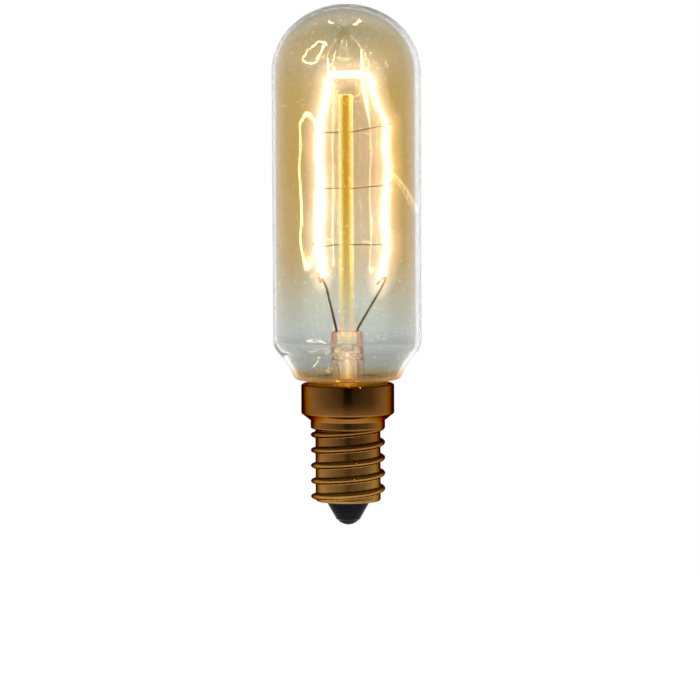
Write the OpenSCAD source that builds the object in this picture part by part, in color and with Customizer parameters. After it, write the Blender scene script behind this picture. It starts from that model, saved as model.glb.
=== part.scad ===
// Tubular filament bulb with a small screw cap.
// Origin: tip of the centre contact. +Z runs up the bulb's axis, -Y is its front.

/* [Screw cap] */
// Diameter over the crests of the rolled thread
thread_d = 13.6; // [13:0.1:14.4]
// Depth of the rolled thread, from crest to root
thread_depth = 0.85; // [0.6:0.05:0.95]
// Width of the thread's rib at its root
rib_w = 1.2; // [1:0.05:1.4]
// Rise of the thread in one turn
thread_pitch = 2.82; // [2.5:0.02:3.2]
// Height of the first full crest above the lip, on the -X side
thread_lead_in = 0.85; // [0.7:0.05:1.4]
// Height of the plain band between the thread and the step
band_h = 1.6; // [1.2:0.1:2]
// Thickness of the cap's sheet metal
shell_wall = 0.3; // [0.2:0.05:0.4]
// Outside diameter of the collar
collar_d = 17; // [16.6:0.1:19]
// Height of the collar, from its lower corner to its rim
collar_h = 5.6; // [5:0.1:8]
// Height of the sloped step between the thread and the collar
step_h = 1.1; // [0.8:0.1:1.5]
// Whole length of the cap, from the contact's tip to the collar's rim
cap_len = 25.9; // [24.5:0.1:29]
// Radius of the collar's rolled rim and of its lower corner
rim_r = 0.4; // [0.35:0.05:0.6]

/* [Insulator and contact] */
// Height of the cap's lower lip above the contact's tip
lip_z = 4.4; // [4:0.1:5.2]
// Diameter of the hole inside the lip, where the insulator comes through
lip_hole_d = 9.9; // [9:0.1:10.4]
// Diameter of the insulator's cone where it leaves the lip
cone_top_d = 7.6; // [6.8:0.1:8.4]
// Diameter of the centre contact
contact_d = 4.6; // [4:0.1:5.2]
// Height of the contact's rim above its tip
contact_rim_z = 1.15; // [1:0.05:1.4]
// Thickness of the contact's metal
contact_wall = 0.35; // [0.25:0.05:0.45]
// Diameter of the bead of solder on the contact
bead_d = 3.8; // [3:0.1:4]
// Depth of the insulator inside the cap, above the lip
insulator_depth = 3; // [2.4:0.1:4]

/* [Glass envelope] */
// Overall length of the bulb
bulb_len = 94.7; // [88:0.1:110]
// Outside diameter of the glass tube
glass_d = 27; // [26:0.5:32]
// Thickness of the glass
glass_wall = 0.8; // [0.6:0.05:0.9]
// Height of the flattened dome
dome_h = 12.4; // [10:0.1:16]
// Radius of the shoulder below the straight tube
shoulder_r = 3.7; // [3:0.1:4.5]
// Turn of the shoulder, from upright, in degrees
shoulder_turn = 43; // [38:1:48]
// Radius of the hollow waist below the shoulder
waist_r = 13.5; // [12:0.5:15]
// Lean of the waist where it meets the rolled foot, in degrees
waist_lean = 22; // [18:1:26]
// Radius of the rolled foot above the collar
foot_r = 1.1; // [0.9:0.1:1.4]
// Gap between the foot and the collar's rim
foot_gap = 0.7; // [0.5:0.1:1.2]
// Outside diameter of the neck inside the collar
neck_d = 14.6; // [14:0.1:15]
// Radius of the fillet between the foot and the neck
neck_fillet = 0.6; // [0.4:0.1:0.9]
// Height of the neck's lower edge above the collar's lower corner
seal_rise = 1.6; // [1.3:0.1:2.2]

/* [Glass stem] */
// Outside diameter of the stem tube
stem_d = 6.3; // [6:0.1:7]
// Thickness of the stem tube
stem_wall = 0.8; // [0.6:0.05:0.95]
// Height over which the stem tube flares out to the neck
flare_h = 3.9; // [3.2:0.1:4.4]
// Height of the pinch's top above the collar's rim
pinch_rise = 9.5; // [8.5:0.1:14]
// Width of the pinch
pinch_w = 5.8; // [5.5:0.1:6]
// Thickness of the pinch
pinch_t = 3.3; // [3.1:0.1:3.6]
// Height of the flat pressed part of the pinch
pinch_h = 2.3; // [2:0.1:3]
// Height of the slope from the pinch down to the round tube
pinch_slope_h = 2.7; // [2.4:0.1:3.4]
// Diameter of the blow hole that joins the exhaust tube to the bulb
blow_hole_d = 2.1; // [1.6:0.1:2.3]
// Outside diameter of the exhaust tube
exhaust_d = 2.2; // [2:0.1:2.6]
// Thickness of the exhaust tube
exhaust_wall = 0.55; // [0.4:0.05:0.7]
// Height of the exhaust tube's melted tip above the contact's tip
exhaust_tip_z = 12.6; // [11.5:0.1:15]
// Diameter of the glass rod
rod_d = 2.6; // [2.3:0.1:2.9]
// Length of the rod above the pinch
rod_len = 43; // [41:0.5:46]
// Depth of the rod's seat in the pinch
rod_seat = 1.2; // [0.9:0.1:1.5]

/* [Lead wires] */
// Diameter of the lead wires inside the bulb
lead_d = 0.45; // [0.35:0.05:0.55]
// Distance between the two leads in the pinch
lead_spacing = 3.9; // [3.8:0.1:4.2]
// Reach of the left lead's fold, from the axis
lead_left = 5.5; // [5.4:0.1:5.8]
// Height of the left lead's fold above the pinch
lead_left_h = 10.4; // [10:0.1:11]
// Reach of the right lead's fold, from the axis
lead_right = 7.8; // [7.5:0.1:8.3]
// Height of the right lead's fold above the pinch
lead_right_h = 9.9; // [9.4:0.1:10.4]
// Length of the part folded back over the filament's end
fold_len = 1.7; // [1.4:0.1:2]
// Length of each seal wire in the pinch
seal_wire_len = 2.6; // [2.2:0.1:3]
// Diameter of the copper lead to the collar
side_lead_d = 0.4; // [0.3:0.05:0.5]
// Diameter of the thin fuse lead to the centre contact
fuse_d = 0.25; // [0.2:0.05:0.3]

/* [Filament] */
// Outside diameter of the filament's coil
coil_d = 0.5; // [0.4:0.05:0.7]
// Height of the filament's top span above the rod's head
span_rise = 3.6; // [3:0.1:4.5]
// Turn of the filament's left leg behind the bulb's middle plane, in degrees
turn_left = 21; // [15:1:27]
// Turn of the filament's right leg in front of the middle plane, in degrees
turn_right = 29.5; // [25:0.5:36]
// Reach of the top span's left corner, from the axis
span_left = 3.4; // [3:0.1:4]
// Reach of the top span's right corner, from the axis
span_right = 5.3; // [4.8:0.1:5.8]
// Mean reach of the left leg
leg_left = 5.1; // [4.9:0.1:5.5]
// Mean reach of the right leg
leg_right = 8.3; // [8:0.1:8.8]
// Reach of the left hook along the span
hook_left = 2.2; // [1.9:0.1:2.4]
// Reach of the right hook along the span
hook_right = 2.9; // [2.4:0.1:3.4]
// Diameter of the support wires
anchor_d = 0.2; // [0.15:0.05:0.3]
// Depth to which a support wire sits in the rod
anchor_depth = 0.8; // [0.5:0.1:0.9]
// Length of a support wire's tail past the filament
anchor_tail = 1.2; // [1:0.1:1.6]
// Distance of the upper pair of support wires below the rod's head
anchor_drop = 6.8; // [6:0.1:8]
// Distance between one pair of support wires and the next
anchor_step = 10.2; // [9.6:0.1:10.8]

/* [Fits] */
// Clearance round a piece sealed or seated in another
seat_gap = 0.02; // [0.01:0.01:0.04]
// Clearance between a wire and the filament that it holds
grip_gap = 0.08; // [0.05:0.01:0.12]

/* [Hidden] */

// Facets of a round surface, and of a thin wire
round_fn = 96;
wire_sides = 8;
thin_sides = 6;
// Steps in a bend, in a quarter of the dome, and degrees in one step of a loop
bend_steps = 4;
dome_steps = 24;
loop_step = 30;
// Columns round the thread, and rows up one pitch of it
thread_cols = 36;
pitch_rows = 12;
// Overlap that joins one solid to the next, and margin by which a cut runs out
join = 0.05;
cut = 1;

// Heights along the axis
collar_z = cap_len - collar_h;
step_z = collar_z - step_h;
seal_z = collar_z + seal_rise;
foot_z = cap_len + foot_gap;
pinch_z = cap_len + pinch_rise;
slope_z = pinch_z - pinch_h - pinch_slope_h;
head_z = pinch_z + rod_len;
span_z = head_z + span_rise;
hook_z = head_z - 0.6;
anchor_z = [for (i = [0:2]) head_z - anchor_drop - i * anchor_step];
seal_wire_z = pinch_z - 0.2 - seal_wire_len;
blow_hole_z = pinch_z - pinch_h - 0.8;
exhaust_top_z = blow_hole_z - blow_hole_d / 2 + 0.3;

// Radii
root_r = thread_d / 2 - thread_depth;
crest_r = thread_d / 2;
collar_r = collar_d / 2;
collar_bore_r = collar_r - shell_wall;
neck_r = neck_d / 2;
neck_bore_r = neck_r - glass_wall;
stem_r = stem_d / 2;
rod_r = rod_d / 2;
lip_r = lip_hole_d / 2;
lead_x = lead_spacing / 2;

// Points on an arc about c, on an ellipse of half-axes r[0] and r[1]
function arc(c, r, from, to, steps) =
    [for (i = [0:steps]) let (a = from + (to - from) * i / steps)
        [c[0] + r[0] * cos(a), c[1] + r[1] * sin(a)]];
function unit(v) = v / norm(v);
function smooth(t) = let (k = min(max(t, 0), 1)) k * k * (3 - 2 * k);

// A path whose inner corners are rounded, each over at most the given reach
function rounded(points, reach) = let (last = len(points) - 1) concat(
    [points[0]],
    [for (i = [1:last - 1]) let (
            p = points[i],
            a = points[i - 1] - p,
            b = points[i + 1] - p,
            near = min(reach, norm(a) * 0.48, norm(b) * 0.48),
            start = p + unit(a) * near,
            end = p + unit(b) * near)
        for (k = [0:bend_steps]) let (t = k / bend_steps)
            start * (1 - t) * (1 - t) + p * 2 * t * (1 - t) + end * t * t],
    [points[last]]);

// Direction of a path at each point, and a cross direction carried along it
function headings(path) = let (last = len(path) - 1)
    [for (i = [0:last]) unit(path[min(i + 1, last)] - path[max(i - 1, 0)])];
function flatten_to(v, heading) = unit(v - heading * (v * heading));
function carried(dirs, i, side) = let (s = flatten_to(side, dirs[i]))
    i == len(dirs) - 1 ? [s] : concat([s], carried(dirs, i + 1, s));
function first_side(heading) = abs(heading[1]) < 0.9 ? [0, 1, 0] : [1, 0, 0];

// Joins rings of points into one solid, as a rod with two ends or as a closed loop
module skin(rings, looped = false) {
    count = len(rings);
    sides = len(rings[0]);
    bands = looped ? count : count - 1;
    walls = [for (i = [0:bands - 1], j = [0:sides - 1]) let (
            a = i * sides + j,
            b = i * sides + (j + 1) % sides,
            c = ((i + 1) % count) * sides + (j + 1) % sides,
            d = ((i + 1) % count) * sides + j)
        each [[a, b, c], [a, c, d]]];
    ends = looped ? [] : [
        [for (j = [sides - 1:-1:0]) j],
        [for (j = [0:sides - 1]) (count - 1) * sides + j]];
    polyhedron(points = [for (ring = rings) each ring], faces = concat(walls, ends));
}

// Round wire along a path
module wire(path, d, sides) {
    dirs = headings(path);
    across = carried(dirs, 0, first_side(dirs[0]));
    skin([for (i = [0:len(path) - 1]) let (u = across[i], v = cross(dirs[i], u))
        [for (k = [0:sides - 1]) path[i]
            + (u * cos(360 * k / sides) - v * sin(360 * k / sides)) * d / 2]]);
}

module ring(inner_r, outer_r, z0, z1) {
    translate([0, 0, z0]) difference() {
        cylinder(r = outer_r, h = z1 - z0, $fn = round_fn);
        translate([0, 0, -cut]) cylinder(r = inner_r, h = z1 - z0 + 2 * cut, $fn = round_fn);
    }
}

module revolved(points) {
    rotate_extrude($fn = round_fn) polygon(points);
}

module bore(d, z0, z1) {
    translate([0, 0, z0]) cylinder(d = d, h = z1 - z0, $fn = 32);
}

// Screw cap

band_z = step_z - band_h;
root_bore_r = root_r - shell_wall;
band_bore_r = crest_r - shell_wall;
wall_z0 = lip_z + 0.45;
wall_z1 = step_z - 0.3;
thread_rows = 2 * ceil((wall_z1 - wall_z0) / thread_pitch * pitch_rows / 2);

// The rib starts behind the cap's left side, and grows to its full depth in part of a turn
rib_start = 95;
rib_grow = 85;
function rib_z(angle) = lip_z + thread_lead_in + thread_pitch * (angle - 180) / 360;

// Radius of the rolled wall: a rounded rib that climbs round it, and the band at its top
function rolled_r(z, angle) = let (
        turns = (z - rib_z(angle)) / thread_pitch,
        off = 2 * (turns - round(turns)) * thread_pitch / rib_w,
        grown = smooth((angle + 360 * round(turns) - rib_start) / rib_grow),
        rib = abs(off) < 1 ? pow(1 - off * off, 0.6) * grown : 0,
        band = smooth((z - band_z + 0.2) / 0.5))
    root_r + thread_depth * max(rib, band);

// The wall's section at one angle, up its outside and down its inside
function wall_section(angle) = concat(
    [for (i = [0:thread_rows]) let (z = wall_z0 + (wall_z1 - wall_z0) * i / thread_rows)
        [rolled_r(z, angle), z]],
    [for (i = [thread_rows:-2:0]) let (z = wall_z0 + (wall_z1 - wall_z0) * i / thread_rows)
        [rolled_r(z, angle) - shell_wall, z]]);

module rolled_wall() {
    skin([for (i = [0:thread_cols - 1]) let (angle = 360 * i / thread_cols)
        [for (p = wall_section(angle)) [p[0] * cos(angle), p[0] * sin(angle), p[1]]]],
        looped = true);
}

// Lip that holds the insulator, round the lower end of the rolled wall
lip_profile = [
    [lip_r, lip_z], [root_r - 0.35, lip_z], [root_r + join, lip_z + 0.3],
    [root_r + join, wall_z0 + 0.2], [root_bore_r - join, wall_z0 + 0.2],
    [root_bore_r - join, lip_z + shell_wall], [lip_r, lip_z + shell_wall]];

// Step and collar, round the upper end of the rolled wall
collar_profile = concat(
    [[band_bore_r - join, wall_z1 - 0.2], [crest_r + join, wall_z1 - 0.2], [crest_r + join, step_z]],
    arc([collar_r - rim_r, collar_z + rim_r], [rim_r, rim_r], -60, 0, bend_steps),
    arc([collar_r - rim_r, cap_len - rim_r], [rim_r, rim_r], 0, 75, bend_steps),
    [[collar_bore_r, cap_len - rim_r], [collar_bore_r, collar_z + rim_r],
        [band_bore_r - join, step_z + shell_wall]]);

module cap_shell() color("#7a5226") {
    rolled_wall();
    revolved(lip_profile);
    revolved(collar_profile);
}

// The contact's outer face is part of a ball, and the bead of solder another
contact_r = contact_d / 2;
dish_sag = contact_rim_z - 0.25;
dish_r = (contact_r * contact_r + dish_sag * dish_sag) / (2 * dish_sag);
dish_z = contact_rim_z - dish_sag + dish_r;
eyelet_r = 1.1;
eyelet_bore_r = eyelet_r - contact_wall;
eyelet_z = contact_rim_z + 2.2;
cone_z = lip_z - 0.5;
bead_r = bead_d / 2;
function dish_height(r, offset = 0) = dish_z - sqrt(pow(dish_r + offset, 2) - r * r);
function dish_arc(r0, r1, offset = 0) =
    [for (i = [0:8]) let (r = r0 + (r1 - r0) * i / 8) [r, dish_height(r, offset)]];

// Glass insulator: a cone outside the lip, a disc held inside it, and a funnel over the eyelet
module cap_insulator() color("#141416") {
    outer_r = root_bore_r - join - seat_gap;
    floor_z = lip_z + shell_wall + seat_gap;
    neck = lip_r - seat_gap;
    top_z = lip_z + insulator_depth;
    revolved(concat(
        [[eyelet_r + seat_gap, contact_rim_z + seat_gap], [contact_r, contact_rim_z + seat_gap]],
        arc([neck, cone_z], [neck - cone_top_d / 2, lip_z - 0.1 - cone_z], 180, 90, 5),
        [[neck, floor_z], [outer_r, floor_z], [outer_r, top_z], [outer_r - 0.8, top_z],
            [eyelet_r + 1.2, eyelet_z + 0.8], [eyelet_r + seat_gap, eyelet_z + 0.8]]));
}

module centre_contact() color("#4a3b2c") {
    revolved(concat(
        dish_arc(eyelet_bore_r, contact_r),
        [[contact_r, contact_rim_z], [eyelet_r, contact_rim_z], [eyelet_r, eyelet_z],
            [eyelet_bore_r, eyelet_z]]));
}

module contact_solder() color("#34323a") {
    stub_r = eyelet_bore_r - seat_gap;
    bead_sag = dish_height(bead_r, seat_gap);
    ball_r = (bead_r * bead_r + bead_sag * bead_sag) / (2 * bead_sag);
    difference() {
        revolved(concat(
            [for (i = [0:8]) let (r = bead_r * i / 8) [r, ball_r - sqrt(ball_r * ball_r - r * r)]],
            [for (i = [8:-1:0]) let (r = stub_r + (bead_r - stub_r) * i / 8) [r, dish_height(r, seat_gap)]],
            [[stub_r, contact_rim_z], [0, contact_rim_z]]));
        bore(fuse_d + 2 * seat_gap, fuse_end_z, contact_rim_z + cut);
    }
}
fuse_end_z = 0.5;

// Glass

// Chain of arcs below the straight tube: shoulder, waist, foot and neck fillet
shoulder_x = glass_d / 2 - shoulder_r;
waist_x = shoulder_x + (shoulder_r + waist_r) * cos(shoulder_turn);
foot_x = waist_x - (waist_r + foot_r) * cos(waist_lean);
foot_centre_z = foot_z + foot_r;
waist_z = foot_centre_z - (waist_r + foot_r) * sin(waist_lean);
shoulder_z = waist_z + (shoulder_r + waist_r) * sin(shoulder_turn);
dome_z = bulb_len - dome_h;

// The same chain serves the inside, with the wall taken off
function envelope_side(wall) = concat(
    [[neck_r - wall, seal_z]],
    arc([neck_r + neck_fillet, foot_z - neck_fillet],
        [neck_fillet + wall, neck_fillet + wall], 180, 90, 6),
    arc([foot_x, foot_centre_z], [foot_r - wall, foot_r - wall], -90, -waist_lean, 8),
    arc([waist_x, waist_z], [waist_r + wall, waist_r + wall], 180 - waist_lean, 180 - shoulder_turn, 8),
    arc([shoulder_x, shoulder_z], [shoulder_r - wall, shoulder_r - wall], -shoulder_turn, 0, 10),
    arc([0, dome_z], [glass_d / 2 - wall, dome_h - wall], 0, 90, dome_steps));
function reversed(list) = [for (i = [len(list) - 1:-1:0]) list[i]];

module glass_envelope() color("#b9a37c", 0.35)
    revolved(concat(envelope_side(0), reversed(envelope_side(glass_wall))));

// Stem tube with its flare at the foot and its pressed top
module stem_flare() color("#c9d2cf", 0.5) {
    bore_r = stem_r - stem_wall;
    flare_z = seal_z + flare_h;
    bell_a = neck_bore_r - stem_r;
    difference() {
        revolved(concat(
            [[0, slope_z + 1], [bore_r, slope_z]],
            arc([neck_bore_r, flare_z], [bell_a + stem_wall, flare_h + stem_wall], 180, 270, 10),
            [[neck_r, seal_z - stem_wall], [neck_r, seal_z - seat_gap], [neck_bore_r, seal_z - seat_gap]],
            arc([neck_bore_r, flare_z], [bell_a, flare_h - seat_gap], 270, 180, 10),
            [[stem_r, slope_z], [pinch_w / 2, slope_z + 1]],
            arc([pinch_w / 2 - 0.5, pinch_z - 0.5], [0.5, 0.5], 0, 90, bend_steps),
            [[0, pinch_z]]));
        for (side = [-1, 1]) {
            pinch_press(side);
            translate([side * lead_x, 0, 0]) bore(lead_d + 2 * seat_gap, slope_z - cut, pinch_z + cut);
        }
        bore(rod_d + 2 * seat_gap, pinch_z - rod_seat, pinch_z + cut);
        bore(exhaust_d + 2 * seat_gap, slope_z - cut, exhaust_top_z);
        bore(exhaust_d - 2 * exhaust_wall, slope_z, blow_hole_z);
        translate([0, 0, blow_hole_z]) rotate([90, 0, 0])
            cylinder(d = blow_hole_d, h = stem_r + cut, $fn = 48);
    }
}

// What the press takes off one face of the stem tube
module pinch_press(side) {
    run = (stem_r - pinch_t / 2 + 0.4) / (stem_r - pinch_t / 2);
    start_z = pinch_z - pinch_h - pinch_slope_h * run;
    translate([-stem_r - cut, 0, 0]) rotate([90, 0, 90])
        linear_extrude(2 * (stem_r + cut)) polygon([
            [side * (stem_r + 0.4), start_z], [side * pinch_t / 2, pinch_z - pinch_h],
            [side * pinch_t / 2, pinch_z + cut], [side * (stem_r + 2), pinch_z + cut],
            [side * (stem_r + 2), start_z]]);
}

module exhaust_tube() color("#c9d2cf", 0.5) {
    tube_r = exhaust_d / 2;
    tube_bore_r = tube_r - exhaust_wall;
    revolved([
        [0, exhaust_tip_z], [0.4, exhaust_tip_z + 0.3], [tube_r, exhaust_tip_z + 2.6],
        [tube_r, exhaust_top_z - seat_gap], [tube_bore_r, exhaust_top_z - seat_gap],
        [tube_bore_r, exhaust_tip_z + 3], [0, exhaust_tip_z + 1.6]]);
}

module support_rod() color("#d9a441", 0.7) {
    foot = pinch_z - rod_seat + seat_gap;
    difference() {
        revolved(concat(
            [[0, foot], [rod_r, foot], [rod_r, head_z - 0.9]],
            arc([rod_r - 0.35, head_z - 0.4], [0.45, 0.4], 0, 90, 6),
            [[0, head_z]]));
        for (side = [-1, 1]) {
            for (z = anchor_z) turned(side) wire_socket(side, z);
            rotate([0, 0, span_turn]) wire_socket(side, hook_z);
        }
    }
}

// Hole in the rod's side that a support wire is sealed into
module wire_socket(side, z) {
    translate([side * (rod_r - anchor_depth - seat_gap), 0, z]) rotate([0, side * 90, 0])
        cylinder(d = anchor_d + 2 * seat_gap, h = anchor_depth + cut, $fn = 32);
}

// Filament and its supports

// Each leg lies in an upright plane of its own through the axis
function side_turn(side) = side < 0 ? -turn_left : -turn_right;
function at(side, reach, z) = let (turn = side_turn(side))
    [side * reach * cos(turn), side * reach * sin(turn), z];
module turned(side) rotate([0, 0, side_turn(side)]) children();

// Each leg's reach at the upper, middle and lower support wires, as shares of its mean
held_left = [1, 0.97, 1.04];
held_right = [1, 1, 1];
// Rise of each support wire from the rod to its leg, as shares of the step between them
rise_left = [0, 0.01, -0.02];
rise_right = [0.11, 0.06, 0.02];

// Points of a leg from the span down: reach as a share of the mean, height in steps
// of the support wires above the lowest
shape_left = [[0.7, 2.74], [0.84, 2.46], [0.96, 2.16], [1, 2.07], [1, 1.93], [1.04, 1.72],
    [1.03, 1.46], [0.97, 1.3], [0.97, 1.08], [0.97, 0.94], [0.94, 0.73], [1.01, 0.46],
    [1.1, 0.24], [1.04, 0.05], [1.04, -0.09], [0.98, -0.2], [0.96, -0.4]];
shape_right = [[0.65, 2.77], [0.8, 2.45], [0.94, 2.24], [1, 2.18], [1, 2.04], [0.97, 1.75],
    [1.04, 1.32], [1, 1.13], [1, 0.99], [0.965, 0.8], [0.95, 0.33], [1, 0.09], [1, -0.05],
    [0.94, -0.27]];

// Ends of the filament, between the two parts of each lead
end_left = [lead_left - 0.64, pinch_z + lead_left_h - 0.65];
end_right = [lead_right - 1, pinch_z + lead_right_h - 1.2];

function leg_points(side, mean, shape) =
    [for (p = shape) at(side, mean * p[0], anchor_z[2] + anchor_step * p[1])];

left_route = concat([at(-1, span_left, span_z)], leg_points(-1, leg_left, shape_left),
    [at(-1, end_left[0], end_left[1] + 0.9), at(-1, end_left[0], end_left[1])]);
right_route = concat([at(1, span_right, span_z)], leg_points(1, leg_right, shape_right),
    [at(1, end_right[0] + 0.2, end_right[1] + 0.9), at(1, end_right[0], end_right[1])]);

module filament() color("#fff3c4")
    wire(rounded(concat(reversed(left_route), right_route), 0.9), coil_d, wire_sides);

// Support wire from the rod to a leg, one full turn round it, and its tail
module pigtail(side, z, rise, leg) {
    off = (coil_d + anchor_d) / 2 + grip_gap;
    climb = anchor_d + grip_gap;
    top = z + rise;
    root = rod_r - anchor_depth;
    path = concat(
        [[side * root, 0, z], [side * (rod_r + 0.2), 0, z], [side * (leg - 1.2), -off * 0.7, top - climb / 2]],
        [for (a = [0:loop_step:360])
            [side * (leg + off * sin(a)), -off * cos(a), top - climb / 2 + climb * a / 360]],
        [[side * (leg + anchor_tail), -off * 0.8, top + climb]]);
    wire(path, anchor_d, thin_sides);
}

module support_wire(side, level) color("#5b4a3c") {
    rise = (side < 0 ? rise_left : rise_right)[level] * anchor_step;
    reach = side < 0 ? leg_left * held_left[level] : leg_right * held_right[level];
    turned(side) pigtail(side, anchor_z[level], rise, reach);
}

// Line of the top span, and its turn from the middle plane
span_from = at(-1, span_left, span_z);
span_to = at(1, span_right, span_z);
span_dir = unit(span_to - span_from);
span_turn = atan2(span_dir[1], span_dir[0]);
span_mid = span_from - span_dir * (span_from * span_dir);

// Hook from the rod's head up and over the top span, at its reach along it
module top_hook(side, reach) color("#5b4a3c") {
    off = (coil_d + anchor_d) / 2 + grip_gap;
    back = cross([0, 0, 1], span_dir);
    held = [span_mid[0], span_mid[1], 0] + span_dir * side * reach;
    out = span_dir * side;
    path = concat(
        rounded([out * (rod_r - anchor_depth) + [0, 0, hook_z], out * (rod_r + 0.3) + [0, 0, hook_z],
            held + back * off + [0, 0, hook_z + 0.5], held + back * off + [0, 0, span_z]], 0.4),
        [for (a = [loop_step:loop_step:210])
            held + back * off * cos(a) + [0, 0, span_z + off * sin(a)]]);
    wire(path, anchor_d, thin_sides);
}

// Lead: up from the pinch, behind the filament's end, and folded back in front of it
module inner_lead(side, reach, rise, fold) color("#3f3a36") {
    off = (coil_d + lead_d) / 2 + grip_gap;
    turn = side_turn(side);
    back = at(side, reach, pinch_z + rise) + off * [-sin(turn), cos(turn), 0];
    front = at(side, reach, pinch_z + rise) - off * [-sin(turn), cos(turn), 0];
    wire(rounded([
        [side * lead_x, 0, pinch_z - 0.2 + seat_gap], [side * lead_x, 0, pinch_z + 0.5],
        back + at(side, -1.3, -2.4), back, front, front + fold_len * unit(at(side, -fold[0], -fold[1]))],
        0.6), lead_d, wire_sides);
}

module seal_wire(side) color("#8a3b22")
    translate([side * lead_x, 0, seal_wire_z]) cylinder(d = lead_d, h = seal_wire_len, $fn = 32);

// Leads below the pinch

lead_slot_r = (neck_r + collar_bore_r) / 2;
side_lead_z = cap_len + 0.1;
cement_z = cap_len - rim_r - 0.3;

// Copper lead: down the stem, under the seal, and up behind the neck to the rim
module outer_lead_side() color("#9a4a24") {
    under = seal_z - stem_wall - 0.35;
    wire(rounded([
        [lead_x, 0, seal_wire_z - seat_gap], [lead_x, 0, seal_z + flare_h], [1.9, 1.4, seal_z + 1.2],
        [1, 5, under], [0, lead_slot_r, under], [0, lead_slot_r, side_lead_z]], 0.6),
        side_lead_d, wire_sides);
}

// Fuse lead: down the stem, past the exhaust tube's tip, into the contact's eyelet
module fuse_lead() color("#4b4540")
    wire(rounded([
        [-lead_x, 0, seal_wire_z - seat_gap], [-lead_x, 0, slope_z - 0.6], [-1.5, -0.3, slope_z - 2.2],
        [-1.8, 0, seal_z + 3.4], [-1.6, 0, exhaust_tip_z + 4], [-1.5, 0, exhaust_tip_z],
        [0, 0, exhaust_tip_z - 3.4], [0, 0, fuse_end_z + seat_gap]], 0.9), fuse_d, thin_sides);

// Drop of solder on the cement and the rim's edge, which joins the copper lead to the collar
module side_solder() color("#8d8a84") {
    drop_r = 0.7;
    drop_y = collar_bore_r - 0.15;
    difference() {
        translate([0, drop_y, foot_z - 0.15 - drop_r]) sphere(r = drop_r, $fn = 32);
        cylinder(r = neck_r + 0.05, h = bulb_len, $fn = round_fn);
        cylinder(r = collar_r, h = cement_z + seat_gap, $fn = round_fn);
        ring(collar_bore_r - seat_gap, collar_r + cut, collar_z, cap_len + seat_gap);
        ring(collar_r - seat_gap, collar_r + cut, collar_z, bulb_len);
        translate([0, lead_slot_r, 0])
            bore(side_lead_d + 2 * seat_gap, collar_z, side_lead_z + seat_gap);
    }
}

module basing_cement() color("#b8ac93") {
    difference() {
        ring(neck_r + seat_gap, collar_bore_r - seat_gap, seal_z, cement_z);
        translate([0, lead_slot_r, 0]) bore(side_lead_d + 2 * seat_gap, seal_z - cut, cap_len);
    }
}

glass_envelope();
stem_flare();
exhaust_tube();
support_rod();
inner_lead(-1, lead_left, lead_left_h, [0.4, 1]);  // inner_lead_left
inner_lead(1, lead_right, lead_right_h, [1.4, 1.25]);  // inner_lead_right
seal_wire(-1);  // seal_wire_left
seal_wire(1);  // seal_wire_right
outer_lead_side();
fuse_lead();
filament();
top_hook(-1, hook_left);  // top_hook_left
top_hook(1, hook_right);  // top_hook_right
support_wire(-1, 0);  // anchor_upper_left
support_wire(1, 0);  // anchor_upper_right
support_wire(-1, 1);  // anchor_middle_left
support_wire(1, 1);  // anchor_middle_right
support_wire(-1, 2);  // anchor_lower_left
support_wire(1, 2);  // anchor_lower_right
cap_shell();
cap_insulator();
centre_contact();
contact_solder();
side_solder();
basing_cement();
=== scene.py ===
"""Looks of a tubular filament bulb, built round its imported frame."""

from __future__ import annotations

import logging
import math
from dataclasses import dataclass, field
from enum import Enum
from itertools import pairwise

import bpy
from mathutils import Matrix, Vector, noise

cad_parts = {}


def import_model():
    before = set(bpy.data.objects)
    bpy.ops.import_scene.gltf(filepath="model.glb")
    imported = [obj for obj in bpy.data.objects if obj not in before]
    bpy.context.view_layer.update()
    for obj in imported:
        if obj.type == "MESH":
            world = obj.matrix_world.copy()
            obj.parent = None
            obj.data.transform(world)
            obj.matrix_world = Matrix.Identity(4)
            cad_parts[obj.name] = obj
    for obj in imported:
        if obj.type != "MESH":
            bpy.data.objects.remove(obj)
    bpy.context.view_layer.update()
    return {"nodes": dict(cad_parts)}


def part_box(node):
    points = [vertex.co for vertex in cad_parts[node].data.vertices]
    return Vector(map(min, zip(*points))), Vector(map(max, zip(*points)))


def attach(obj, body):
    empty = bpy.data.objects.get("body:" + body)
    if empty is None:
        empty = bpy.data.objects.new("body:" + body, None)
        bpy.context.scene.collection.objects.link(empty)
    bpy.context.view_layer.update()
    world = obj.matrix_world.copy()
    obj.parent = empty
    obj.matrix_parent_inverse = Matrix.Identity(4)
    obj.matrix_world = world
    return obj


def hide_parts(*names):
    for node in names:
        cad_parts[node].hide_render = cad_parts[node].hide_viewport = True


log = logging.getLogger("filament_bulb")

MM = 0.001
BODY = "root"
WELD = 0.001 * MM

Outline = list[tuple[float, float]]
Route = list[Vector]
Colour = tuple[float, float, float]
Stops = dict[float, Colour]
Piece = bpy.types.Object
Material = bpy.types.Material
Tree = bpy.types.NodeTree
Node = bpy.types.Node
Socket = bpy.types.NodeSocket

BLACK: Colour = (0.0, 0.0, 0.0)
WHITE: Colour = (1.0, 1.0, 1.0)


def grey(level: float) -> Colour:
    """A plain grey."""
    return (level, level, level)


# Curves that the pieces share, in millimetres


def arc(centre: tuple[float, float], reach: tuple[float, float], start: float, end: float,
        steps: int) -> Outline:
    """Points on an arc of an ellipse.

    Args:
        centre: radius and height of the arc's centre.
        reach: half-axes across and up.
        start: first angle in degrees, from outwards towards up.
        end: last angle in degrees.
        steps: number of stretches in the arc.

    Returns:
        The points, as radius and height.
    """
    angles = [math.radians(start + (end - start) * i / steps) for i in range(steps + 1)]
    return [(centre[0] + reach[0] * math.cos(a), centre[1] + reach[1] * math.sin(a)) for a in angles]


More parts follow.
